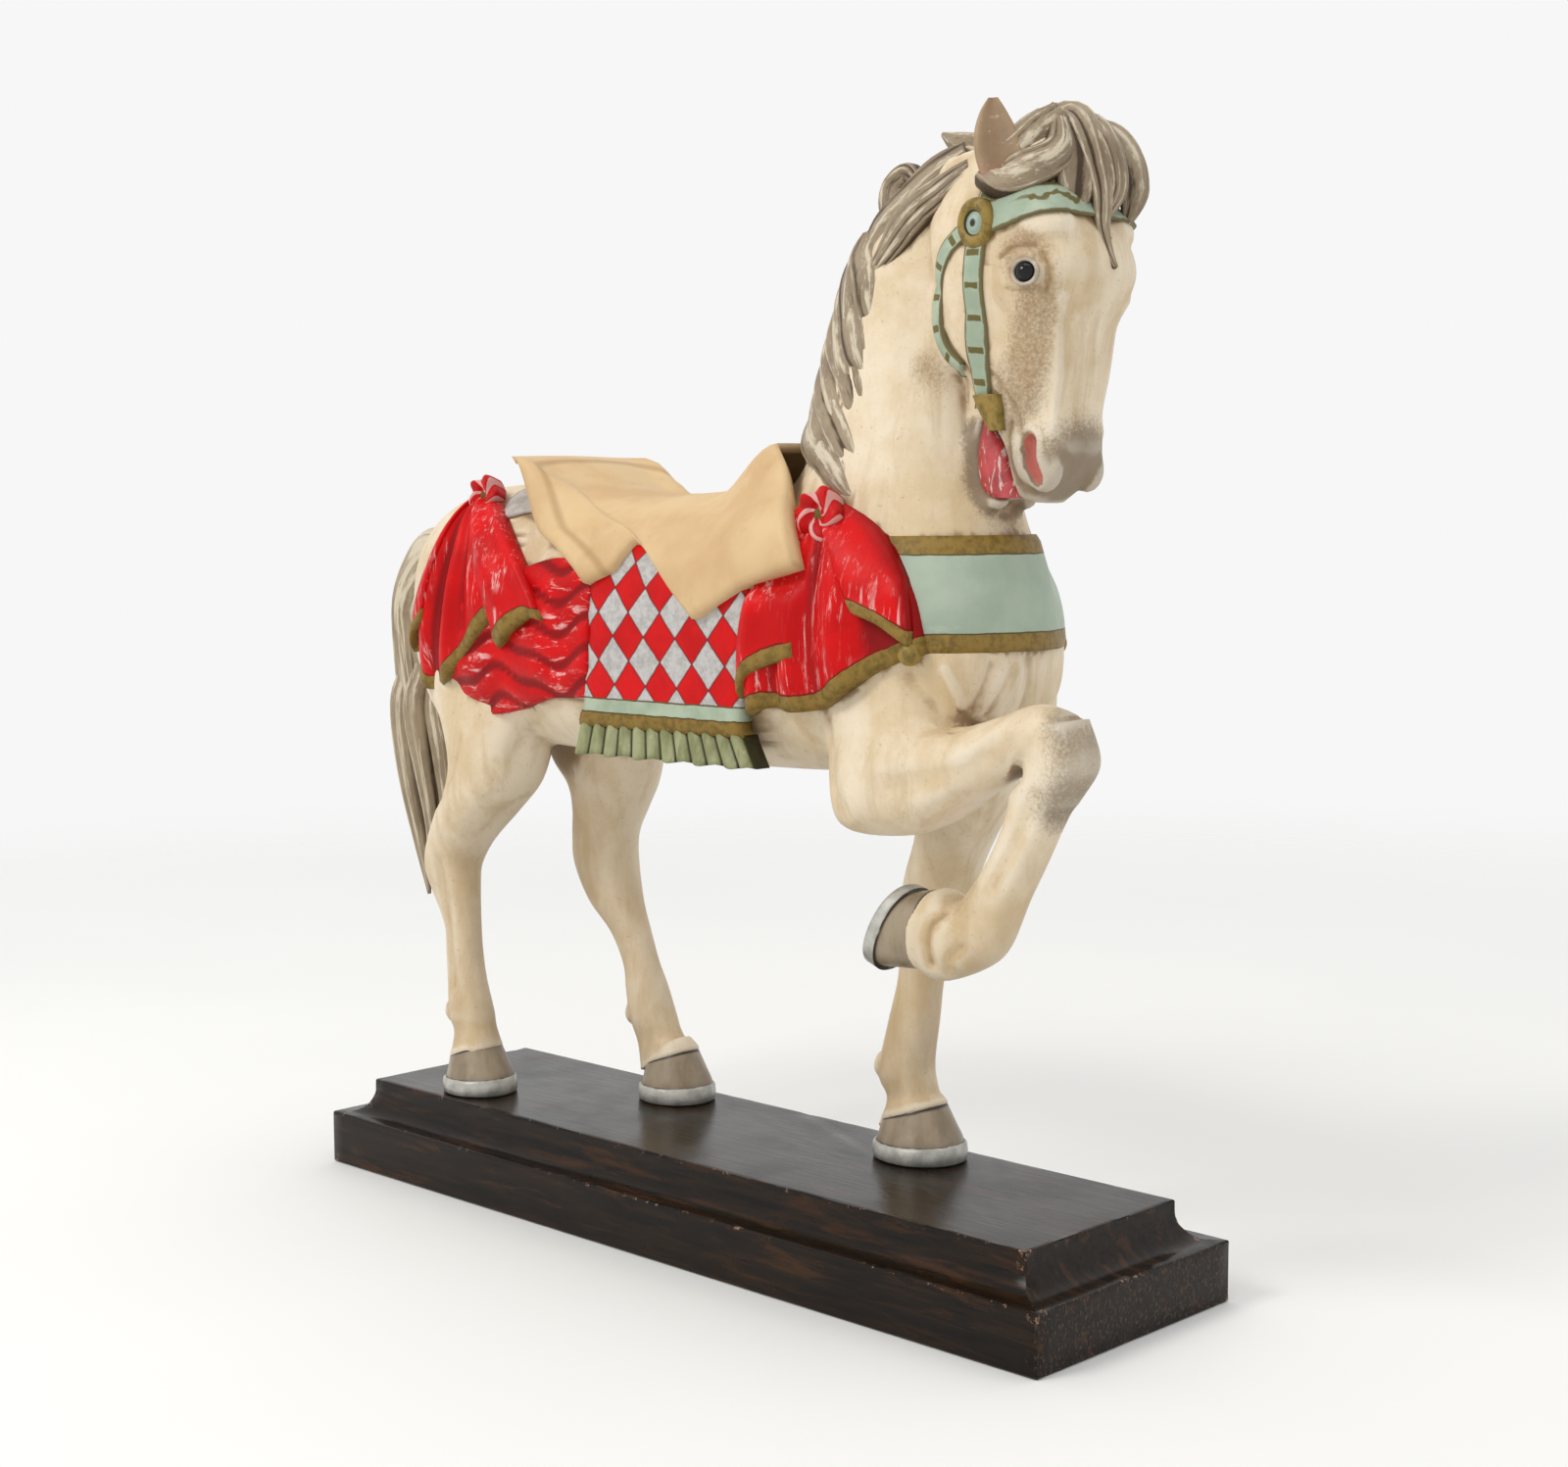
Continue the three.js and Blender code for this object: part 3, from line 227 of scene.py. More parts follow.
BROWBAND = [[-1, 390], [-0.5, 396], [0, 396], [0.5, 394], [1, 388]]
# Folds that lie over the drapes: threads of [x, z, height above the body]
REAR_FOLD = [
    [[-121, 300, 7], [-131, 274, 6.4], [-143, 252, 6.2], [-150, 232, 6]],
    [[-120, 301, 8.4], [-127, 276, 7.6], [-137, 254, 7.6], [-144, 240, 7.4]],
    [[-119, 301, 8.6], [-124, 278, 7.8], [-131, 258, 7.6], [-135, 246, 7.4]],
]
FRONT_FOLD_LEFT = [
    [[74, 296, 7], [65, 270, 7.4], [59, 246, 8], [56.5, 222, 8]],
    [[76, 297, 8.6], [69, 270, 9], [65, 250, 9.4], [62, 230, 9.2]],
    [[78, 297, 8], [74, 272, 8], [73, 252, 8.2], [73, 235, 8.6]],
    [[80, 297, 8.4], [83, 274, 8.2], [85, 256, 8], [86, 238, 7.6]],
]
FRONT_FOLD_RIGHT = [
    [[84, 298, 8.4], [97, 280, 7.6], [108, 264, 7.8], [113, 255, 7.8]],
    [[86, 298, 7.8], [103, 281, 7], [116, 265, 7.4], [123, 251.5, 7.8]],
    [[87, 298, 7], [109, 282, 6], [125, 263, 6.6], [131, 246, 7]],
    [[88, 298, 6], [113, 285, 5], [131, 264, 5.4], [135.5, 243, 5.4]],
]
# The gap between the lips, seen from the side: rows [front x, z, back x, half thickness]
MOUTH = [[145, 322, 140.5, 1], [148.5, 316, 137.8, 3], [151.5, 310, 136.4, 4.2], [154.5, 303, 136.4, 4.6],
         [157.5, 297.5, 138.6, 4.4], [158, 295, 143.6, 3]]
LIP = [
    [142.5, 326, 138, 324, 2.4, -8.5], [139, 316, 133.2, 315, 3, -9.4], [138, 306, 132.2, 305, 3.2, -9.6],
    [139.5, 299, 133.8, 296, 3.2, -9.4], [145.5, 295.5, 142.5, 290.8, 3, -8.6],
    [150, 295, 148.5, 291.6, 2.4, -7.5],
]


def mix(a, b, t):
    return a + (b - a) * t


def smoothstep(low, high, v):
    t = np.clip((v - low) / (high - low), 0, 1)
    return t * t * (3 - 2 * t)


def power(v, n):
    return np.sign(v) * np.abs(v) ** n


def refine(rows, steps):
    """Smooth rows put between the given ones, along the first axis."""
    rows = np.asarray(rows, float)
    last = len(rows) - 1
    fine = []
    for i in range(last):
        a, b, c, d = rows[max(0, i - 1)], rows[i], rows[i + 1], rows[min(last, i + 2)]
        for s in range(steps):
            t = s / steps
            square, cube = 2 * a - 5 * b + 4 * c - d, 3 * b - a - 3 * c + d
            fine.append(0.5 * (2 * b + (c - a) * t + square * t * t + cube * t ** 3))
    fine.append(rows[last])
    return np.array(fine)


def table(rows, x, column):
    rows = sorted(rows, key=lambda r: r[0])
    return np.interp(x, [r[0] for r in rows], [r[column] for r in rows])


TRUNK_FINE = refine(TRUNK, 6)
TRUNK_READ = sorted(((r[0] + r[2]) / 2, r[1], r[3], r[4]) for r in TRUNK_FINE.tolist())
HEAD_FINE = refine(HEAD, 6)
HEAD_READ = sorted(((r[1] + r[3]) / 2, r[0], r[2], r[4]) for r in HEAD_FINE.tolist())


def trunk_at(x):
    top, low, half = table(TRUNK_READ, x, 1), table(TRUNK_READ, x, 2), table(TRUNK_READ, x, 3)
    return (top + low) / 2, (top - low) / 2, half


def trunk_side(x, z):
    middle, rise, half = trunk_at(x)
    share = np.clip(np.abs((z - middle) / rise), 0, 0.995)
    return half * (1 - share ** TRUNK_SQUARE) ** (1 / TRUNK_SQUARE)


def head_at(z):
    front, back, half = table(HEAD_READ, z, 1), table(HEAD_READ, z, 2), table(HEAD_READ, z, 3)
    return (front + back) / 2, (front - back) / 2, half


def head_side(x, z):
    middle, reach, half = head_at(z)
    share = np.clip(np.abs((x - middle) / reach), 0, 0.97)
    return half * (1 - share ** HEAD_SQUARE) ** (1 / HEAD_SQUARE)


def cheek_side(x, z):
    dx, dz = (x - 143) / 20, (z - 360) / 22
    return np.maximum(head_side(x, z), 10 * np.sqrt(np.clip(1 - dx * dx - dz * dz, 0, 1)) + 15)


class Shape:
    """Closed bodies gathered into one mesh, each with its own material, and values painted on its points."""

    VALUES = ("a", "b", "c")

    def __init__(self):
        self.points, self.faces, self.mats, self.values = [], [], [], {v: [] for v in self.VALUES}
        self.count = 0

    def add(self, points, faces, mat=0, **values):
        points = np.asarray(points, float).reshape(-1, 3)
        volume = 0.0
        for face in faces:
            p = points[face[0]]
            for n in range(1, len(face) - 1):
                volume += p @ np.cross(points[face[n]], points[face[n + 1]])
        if volume < 0:
            faces = [tuple(reversed(face)) for face in faces]
        self.faces += [tuple(n + self.count for n in face) for face in faces]
        self.mats += [mat] * len(faces)
        self.points.append(points)
        for v in self.VALUES:
            self.values[v].append(np.resize(np.asarray(values.get(v, 0.0), float).ravel(), len(points)))
        self.count += len(points)

    def object(self, name, materials=()):
        mesh = bpy.data.meshes.new(name)
        mesh.from_pydata((np.concatenate(self.points) * MM).tolist(), [], self.faces)
        for m in materials:
            mesh.materials.append(m)
        mesh.polygons.foreach_set("material_index", self.mats)
        for v in self.VALUES:
            painted = np.concatenate(self.values[v]).astype(np.float32)
            mesh.attributes.new(v, "FLOAT", "POINT").data.foreach_set("value", painted)
        mesh.polygons.foreach_set("use_smooth", [True] * len(mesh.polygons))
        mesh.update()
        obj = bpy.data.objects.new(name, mesh)
        bpy.context.scene.collection.objects.link(obj)
        return obj


def ring_faces(rings, count):
    faces = []
    for r in range(rings - 1):
        for s in range(count):
            a, b = r * count + s, r * count + (s + 1) % count
            faces.append((a, b, b + count, a + count))
    return faces


def loft(shape, rings, mat=0, **values):
    """A skin over rings of equal count, closed by a fan at each end."""
    rings = np.asarray(rings, float)
    n, count = rings.shape[:2]
    points = np.concatenate([rings.reshape(-1, 3), [rings[0].mean(0)], [rings[-1].mean(0)]])
    faces = ring_faces(n, count)
    for s in range(count):
        t = (s + 1) % count
        faces.append((n * count, t, s))
        faces.append((n * count + 1, (n - 1) * count + s, (n - 1) * count + t))
    full = {}
    for name, v in values.items():
        v = np.asarray(v, float).ravel()
        full[name] = np.concatenate([v, [v[0], v[-1]]]) if len(v) == n * count else v
    shape.add(points, faces, mat, **full)


def patch(shape, outer, drop, mat=0, **values):
    """A sheet lying on something: its edge turns down by drop, and is closed inside what it lies on."""
    outer = np.asarray(outer, float)
    rows, cols = outer.shape[:2]
    edge = [(i, 0) for i in range(rows)] + [(rows - 1, j) for j in range(1, cols)]
    edge += [(i, cols - 1) for i in range(rows - 2, -1, -1)] + [(0, j) for j in range(cols - 2, 0, -1)]
    loop = np.array([i * cols + j for i, j in edge])
    flat = outer.reshape(-1, 3)
    inner = flat[loop] + np.asarray(drop)
    points = np.concatenate([flat, inner, [inner.mean(0)]])
    corners = [i * cols + j for i in range(rows - 1) for j in range(cols - 1)]
    faces = [(a, a + cols, a + cols + 1, a + 1) for a in corners]
    base, middle, n = len(flat), len(points) - 1, len(loop)
    for k in range(n):
        m = (k + 1) % n
        faces.append((int(loop[m]), int(loop[k]), base + k, base + m))
        faces.append((base + m, base + k, middle))
    full = {}
    for name, v in values.items():
        v = np.asarray(v, float).reshape(-1)
        full[name] = np.concatenate([v, v[loop], [v[loop].mean()]])
    shape.add(points, faces, mat, **full)


def limb_rings(rows, segments, steps, square=2.2):
    fine = refine(rows, steps)
    angle = np.arange(segments) / segments * 2 * math.pi
    along = power(np.cos(angle), 2 / square)
    across = power(np.sin(angle), 2 / square)
    rings = []
    for ax, az, bx, bz, w, y in fine:
        t = 0.5 + 0.5 * along
        rings.append(np.stack([mix(bx, ax, t), y + w * across, mix(bz, az, t)], 1))
    return np.array(rings)


def ball_rings(centre, sizes, segments=32, levels=16):
    tilt = np.linspace(0.06, math.pi - 0.06, levels)
    angle = np.arange(segments) / segments * 2 * math.pi
    return np.array([
        np.stack([
            centre[0] + sizes[0] * math.sin(t) * np.cos(angle),
            centre[1] + sizes[1] * math.sin(t) * np.sin(angle),
            np.full(segments, centre[2] - sizes[2] * math.cos(t)),
        ], 1) for t in tilt
    ])


def mirror(rings):
    return np.asarray(rings) * (1, -1, 1)


def hoof_ring(place, share, front, back, shift, segments=48):
    x, y, long, wide = place
    angle = np.arange(segments) / segments * 2 * math.pi
    along = np.cos(angle)
    return np.stack([
        x + shift + long * share * along,
        y + wide * share * np.sin(angle),
        SOLE + mix(back, front, 0.5 + 0.5 * along),
    ], 1)


def lock(shape, rows, outward, steps, strands, points, wave=0.0, dark=1.0):
    """A lock of hair with strands along it.

    Value a is the painted shade: near 0 on a strand and 1 in the groove beside it, at the root and under the
    lock, scaled by dark; b runs along it and c round it.
    """
    fine = refine(rows, steps)
    out = np.asarray(outward, float)
    out = out / np.linalg.norm(out)
    theta = np.arange(points) / points * 2 * math.pi
    draw = np.random.default_rng(int(abs(rows[0][0] * 7 + rows[0][2])) + SEED)
    shift = draw.uniform(0, math.pi)
    bent = theta + 0.35 * np.sin(2 * theta + shift)
    ridge = np.abs(np.cos((strands - draw.choice([0, 0.5, 1])) * bent + shift)) ** 0.55
    top = np.sin(theta) > 0
    height = np.abs(np.sin(theta))
    height = np.where(top, height ** 0.6 * (0.7 + 0.3 * ridge), -height ** 0.8)
    root = 1 - smoothstep(0.08, 0.4, np.sin(theta))
    # Painted shade in the grooves, at the root and under the lock
    groove = np.where(top, np.maximum(0.95 * (1 - ridge), root), 0.9) * dark
    rings, values = [], []
    for i, (x, y, z, w, t) in enumerate(fine):
        p, q = fine[max(0, i - 1)][:3], fine[min(len(fine) - 1, i + 1)][:3]
        along = (q - p) / np.linalg.norm(q - p)
        side = np.cross(along, out)
        side /= np.linalg.norm(side)
        up = np.cross(side, along)
        bend = wave * math.sin(i * 0.36 + shift) * min(1, i / 6)
        across = np.outer(np.cos(theta) * w + bend, side)
        rings.append(np.array([x, y, z]) + across + np.outer(height * t, up))
        values.append(groove)
    along, around = np.linspace(0, 1, len(fine)), theta + 7 * shift
    loft(shape, rings, PART["hair"], a=values, b=np.repeat(along, points), c=np.tile(around, len(fine)))


def slab(shape, outer, inner, mat=0, **values):
    """A sheet with a true thickness: two grids of points, joined round their edge."""
    outer, inner = np.asarray(outer, float), np.asarray(inner, float)
    rows, cols = outer.shape[:2]
    base = rows * cols
    faces = []
    for i in range(rows - 1):
        for j in range(cols - 1):
            a = i * cols + j
            faces.append((a, a + cols, a + cols + 1, a + 1))
            faces.append((base + a, base + a + 1, base + a + cols + 1, base + a + cols))
    for i in range(rows - 1):
        a, b = i * cols, (i + 1) * cols
        faces.append((b, a, base + a, base + b))
        faces.append((a + cols - 1, b + cols - 1, base + b + cols - 1, base + a + cols - 1))
    for j in range(cols - 1):
        a, b = j, (rows - 1) * cols + j
        faces.append((a, a + 1, base + a + 1, base + a))
        faces.append((b + 1, b, base + b, base + b + 1))
    both = {name: np.concatenate([np.ravel(v), np.ravel(v)]) for name, v in values.items()}
    shape.add(np.concatenate([outer.reshape(-1, 3), inner.reshape(-1, 3)]), faces, mat, **both)


# Places in the horse's list of materials
PARTS = ["skin", "hair", "hoof", "shoe", "saddle", "red", "panel", "fringe", "collar", "strap", "boss",
         "mouth", "lid", "silver", "knot", "ear"]
PART = {name: n for n, name in enumerate(PARTS)}


# Skin: one smooth body, its joins blended, with carved lines
JOINS = [
    ((-125, -28, 214), 46), ((-108, 28, 212), 46), ((110, 26, 204), 40), ((106, -34, 212), 38),
    ((96, 0, 288), 60), ((128, -20, 352), 24), ((128, 20, 352), 24), ((192, -30, 208), 16),
    ((152, -30, 144), 13), ((172, 0, 386), 20), ((168, -11, 308), 10), ((168, 11, 308), 10),
    ((150, 0, 238), 30),
]

# Swellings on both sides: shoulder, haunch, cheek, brow and nostril, each a centre and its half sizes
LUMPS = [
    ((118, -24, 222), (26, 18, 34)), ((-128, -26, 240), (36, 21, 48)), ((143, -15, 360), (20, 10, 22)),
    ((172, -15.5, 386), (13, 11, 9)), ((170, -11.5, 306), (7, 5, 9)),
]
POLL = ((163, 0, 408), (16, 20, 14))
FETLOCK_HEIGHT = 73

# Hoof rings: share of the hoof's size, height at the front, height at the back, shift along x
CUFF = [(0.56, 27.6, 18, -4.2), (0.68, 25, 15.4, -3.4), (0.745, 23, 13.4, -2.8), (0.7, 21.6, 12.2, -2.6)]
SHOE = [(1.0, 0, 0, 0), (1.05, 0.4, 0.4, 0), (1.07, 3, 3, 0), (1.05, 6.4, 5.6, 0), (0.98, 7.6, 6.4, 0)]
WALL = [(0.9, 2, 2, 0), (0.97, 7.6, 6, 0.2), (0.87, 14, 9.2, -1), (0.76, 20.5, 12.5, -2.4),
        (0.72, 22.3, 13.2, -2.8), (0.6, 23.8, 13.6, -3.4)]

# Carved lines: points, width, depth (below zero it stands out), how much darker the paint is along it, on
# both sides or one
LINES = [
    ([(163, -27, 376), (169, -28, 380), (176, -26, 380.5)], 1.1, 0.9, 0.7, True),
    ([(165, -27, 366), (171, -28, 364), (178, -26, 365)], 1.0, 0.7, 0.5, True),
    ([(179, -26, 378), (181.5, -24, 371), (180, -24, 363)], 1.3, 0.8, 0.6, True),
    ([(184, -19, 362), (183, -18, 346), (180, -16, 331), (175, -14, 318)], 2.4, -1.3, 0.0, True),
    ([(153, -20, 338), (160, -17, 326), (163, -15, 317)], 2.0, 0.8, 0.35, True),
    ([(134, -20, 352), (141, -19, 339), (147, -17, 329)], 2.2, 0.9, 0.5, True),
    ([(158, -13, 322), (157, -13, 310), (159, -12, 299)], 1.4, 1.2, 0.6, True),
    ([(90, -48, 216), (94, -49, 199), (104, -47, 184)], 4.5, 1.5, 0.12, False),
    ([(130, -40, 232), (139, -38, 224), (150, -36, 219)], 4.0, 2.4, 0.12, False),
    ([(158, 0, 238), (153, 0, 224), (145, 0, 208)], 4.0, 2.2, 0.1, False),
    ([(149, -18, 236), (152, -21, 228), (149, -24, 219)], 2.6, 1.8, 0.12, False),
    ([(153, -9, 234), (153, -13, 226), (150, -17, 217)], 2.4, 1.6, 0.1, False),
    ([(140, -30, 236), (144, -29, 228), (146, -29, 221)], 2.4, -1.4, 0.0, False),
    ([(-82, -40, 214), (-80, -42, 200), (-86, -38, 186)], 6.0, 1.8, 0.1, True),
    ([(-118, -38, 198), (-127, -38, 180), (-142, -33, 164)], 3.0, 0.9, 0.2, False),
    ([(-147, -33, 140), (-147, -32, 120), (-146, -32, 100), (-143, -32, 84)], 2.6, 1.4, 0.1, False),
    ([(-104, 34, 138), (-98, 32, 118), (-88, 32, 100), (-80, 32, 84)], 2.6, 1.4, 0.1, False),
    ([(78, 33, 128), (77, 32, 110), (75, 33, 94), (73, 33, 78)], 2.6, 1.4, 0.1, False),
    ([(188, -39, 196), (180, -38, 180), (168, -38, 162)], 2.6, 1.4, 0.1, False),
    ([(128, -48, 194), (146, -48, 197), (160, -46, 201), (170, -44, 206)], 4.2, 1.6, 0.05, False),
    ([(148, -42, 152), (142, -45, 143), (143, -44, 130)], 2.4, 1.6, 0.3, False),
    ([(156, -42, 140), (150, -44, 132), (150, -42, 124)], 2.2, 1.1, 0.2, False),
    ([(-36, -36, 196), (0, -36, 194), (40, -36, 196)], 4.0, 0.7, 0.25, True),
]
NOSTRIL = [(166.5, -15, 315), (166, -16, 308), (169, -16, 302)]
# Grey washes: points, radius, strength, on both sides or one
GREYS = [
    ([(162, 0, 300), (186, 0, 300)], 33, 1.0, False),
    ([(172, -27, 378), (177, -26, 366), (171, -22, 348), (164, -19, 330)], 15, 0.6, True),
    ([(200, -30, 218), (203, -30, 204), (196, -30, 192)], 20, 0.75, False),
    ([(138, -9, 318), (139, -9, 298), (150, -8, 292)], 9, 0.95, True),
    ([(124, -24, 342), (134, -22, 334)], 12, 0.55, True),
    ([(158, -17, 336), (160, -15, 318)], 12, 0.5, True),
    ([(-150, -26, 146), (-146, -26, 90)], 14, 0.2, False),
    ([(146, -30, 144), (158, -30, 156)], 17, 0.35, False),
    ([(170, -30, 226), (190, -30, 222)], 14, 0.25, False),
]


def mean_round(values, edges, degree):
    """The mean of each point's neighbours along the edges."""
    one, two = edges.T
    total = [
        np.bincount(one, column[two], len(values)) + np.bincount(two, column[one], len(values))
        for column in values.T
    ]
    return np.stack(total, 1) / degree[:, None]


def line_distance(points, line):
    line = refine(line, 6)
    best = np.full(len(points), 1e9)
    for p, q in zip(line[:-1], line[1:]):
        d = q - p
        t = np.clip(((points - p) @ d) / (d @ d), 0, 1)
        best = np.minimum(best, np.linalg.norm(points - (p + t[:, None] * d), axis=1))
    return best


def near_tree(points):
    tree = KDTree(len(points))
    for i, p in enumerate(points.tolist()):
        tree.insert(p, i)
    tree.balance()
    return tree


def read_points(mesh, name):
    flat = np.empty(len(mesh.vertices) * 3, np.float32)
    mesh.vertices.foreach_get(name, flat)
    return flat.reshape(-1, 3).astype(float)


def mesh_points(mesh):
    return read_points(mesh, "co") / MM


def on_skin(tree, line, side):
    return [list(tree.find((x, y * side, z))[0]) for x, y, z in line]


def set_points(mesh, points):
    mesh.vertices.foreach_set("co", (points * MM).astype(np.float32).ravel())
    mesh.update()


def skin_shape():
    s = Shape()
    loft(s, limb_rings(TRUNK, 72, 6, TRUNK_SQUARE))
    for rows, square in ((NECK, 2.1), (HEAD, HEAD_SQUARE)):
        loft(s, limb_rings(rows, 56, 6, square))
    loft(s, limb_rings(JAW, 40, 6, 2.6))
    for rows in (NEAR_HIND, FAR_HIND, FORE_STANDING, FOREARM, CANNON):
        loft(s, limb_rings(rows, 40, 6))
    for centre, sizes in LUMPS:
        rings = ball_rings(centre, sizes)
        loft(s, rings)
        loft(s, mirror(rings))
    loft(s, ball_rings(*POLL))
    lip = limb_rings(LIP, 24, 6)
    loft(s, lip)
    loft(s, mirror(lip))
    for rows, place in zip((NEAR_HIND, FAR_HIND, FORE_STANDING), HOOVES):
        fetlock = min(refine(rows, 12).tolist(), key=lambda r: abs(r[3] - FETLOCK_HEIGHT))
        loft(s, ball_rings((fetlock[2] + 2.5, fetlock[5], fetlock[3]), (4.6, 0.8 * fetlock[4], 6.5)))
        loft(s, refine([hoof_ring(place, *row) for row in CUFF], 3))
    return s


def make_skin(target):
    """One body from all the limbs. Gives points, faces, and on each point the dirt and painted shade, the
    grey, and the pink (below zero: rubbed wear and painted highlight).
    """
    obj = skin_shape().object("skin_work")
    obj.data.remesh_voxel_size = 1.15 * MM
    bpy.context.view_layer.objects.active = obj
    obj.select_set(True)
    bpy.ops.object.voxel_remesh()
    mesh = obj.data
    points = mesh_points(mesh)
    edges = np.array([e.vertices[:] for e in mesh.edges])
    degree = np.maximum(np.bincount(edges.ravel(), minlength=len(points)), 1)
    blend = np.zeros(len(points))
    for centre, radius in JOINS:
        blend = np.maximum(blend, 1 - smoothstep(0.45, 1, np.linalg.norm(points - centre, axis=1) / radius))
    for _ in range(60):
        points += 0.6 * blend[:, None] * (mean_round(points, edges, degree) - points)
    for _ in range(8):
        points += 0.5 * (mean_round(points, edges, degree) - points)
        points -= 0.52 * (mean_round(points, edges, degree) - points)
    set_points(mesh, points)
    normals = read_points(mesh, "normal")
    tree = near_tree(points)
    move, dirt_and_shade = np.zeros(len(points)), np.zeros(len(points))
    for line, width, depth, tint, both in LINES:
        for side in (1, -1)[:1 + both]:
            d = line_distance(points, on_skin(tree, line, side))
            share = np.exp(-((d / width) ** 2))
            move -= depth * share
            dirt_and_shade = np.maximum(dirt_and_shade, tint * share)
    pink = np.zeros(len(points))
    for side in (1, -1):
        d = line_distance(points, on_skin(tree, NOSTRIL, side))
        move -= 3.2 * np.exp(-((d / 2.4) ** 4)) - 0.5 * np.exp(-(((d - 4.4) / 1.4) ** 2))
        # A painted shadow in a ring round each nostril's hollow
        dirt_and_shade = np.maximum(dirt_and_shade, 0.75 * np.exp(-(((d - 3.1) / 0.7) ** 2)))
        pink = np.maximum(pink, np.exp(-((d / 2.6) ** 6)))
    points = points + normals * move[:, None]
    set_points(mesh, points)
    normals = read_points(mesh, "normal")
    hollow = np.einsum("ij,ij->i", mean_round(points, edges, degree) - points, normals)[:, None]
    for _ in range(5):
        hollow = mean_round(hollow, edges, degree)
    hollow = hollow[:, 0] / (np.std(hollow) * 3 + 1e-9)
    # Painted shade and antiquing in the hollows of the carving
    dirt_and_shade = np.clip(dirt_and_shade + np.clip(hollow, 0, 1) * 0.35, 0, 1)
    grey = np.zeros(len(points))
    for stroke, radius, strength, both in GREYS:
        for side in (1, -1)[:1 + both]:
            share = line_distance(points, np.array(stroke) * (1, side, 1)) / radius
            grey = np.maximum(grey, strength * (1 - smoothstep(0.3, 1, share)))
    # Ridges painted lighter: rubbed wear and painted highlight
    wear_and_highlight = np.clip(-hollow, 0, 1)
    thin = obj.modifiers.new("thin", "DECIMATE")
    thin.ratio = min(1, target / (2 * len(mesh.polygons)))
    done = bpy.data.meshes.new_from_object(obj.evaluated_get(bpy.context.evaluated_depsgraph_get()))
    low = mesh_points(done)
    tree = near_tree(points)
    near = np.array([tree.find(p)[1] for p in low.tolist()])
    faces = [tuple(p.vertices) for p in done.polygons]
    bpy.data.objects.remove(obj)
    pink = np.where(pink > 0.05, pink, -0.5 * wear_and_highlight)
    return low, faces, dirt_and_shade[near], grey[near], pink[near]


# Cloths
NO_HEM = 99
PANEL_TOP = 280
BORDER_TOP = 213.6
SADDLE_REACH = 130
CANTLE_TOP = 311.9
POMMEL_TOP = 313.4
COLLAR_LOW = 241
COLLAR_TOP = 282
COLLAR_MIDDLE = 104
COLLAR_SQUARE = 2.1


def cloth(shape, threads, side, mat, across, down, hem=0.0, drop=6.0, depth=1.0, ripple=0.0):
    """Threads from the knot to the hem.

    Value a is the distance from the hem, b the depth of a fold, painted as shade, and c is 2 where the cloth
    ripples.
    """
    fine = refine(refine(np.array(threads, float).transpose(1, 0, 2), down).transpose(1, 0, 2), across)
    x, z, lift = fine[..., 0], fine[..., 1], fine[..., 2]
    step = np.hypot(np.diff(x, axis=1), np.diff(z, axis=1))
    left = np.concatenate([np.cumsum(step[:, ::-1], 1)[:, ::-1], np.zeros((len(x), 1))], 1)
    around = lift.mean(0)
    # Valleys between the folds, painted as shade
    fold = np.clip((around - lift) / 2.6, 0, 1)
    lift = around + depth * (lift - around)
    if ripple:
        wave = np.sin(z * 0.5 + 2.2 * np.sin(x * 0.09) + 0.8 * np.sin(x * 0.23))
        # The ripples' troughs take the painted shade instead
        lift, fold = lift + ripple * wave, np.clip(-wave * 0.8, 0, 1)
    # Under the saddle's front corner the drape lies flat
    under = smoothstep(94, 86, x) * smoothstep(40, 50, x) * smoothstep(258, 266, z)
    lift = mix(lift, np.minimum(lift, 3.4), under)
    edge = np.minimum(np.arange(len(x)), np.arange(len(x))[::-1])[:, None]
    lift = lift - 1.1 * np.exp(-edge / 1.2) - 1.0 * np.exp(-left / 0.8)
    if hem:
        lift = lift + 0.8 * (1 - smoothstep(hem - 0.5, hem + 0.6, left))
    body = np.maximum(trunk_side(x, z), DRAPE_FLOOR * smoothstep(290, 262, z))
    points = np.stack([x, side * (body + lift), z], -1)
    distance = left if hem else left + NO_HEM
    rippled = np.full(x.shape, 2.0 * bool(ripple))
    patch(shape, points, (0, -side * drop, 0), mat, a=distance, b=fold, c=rippled)


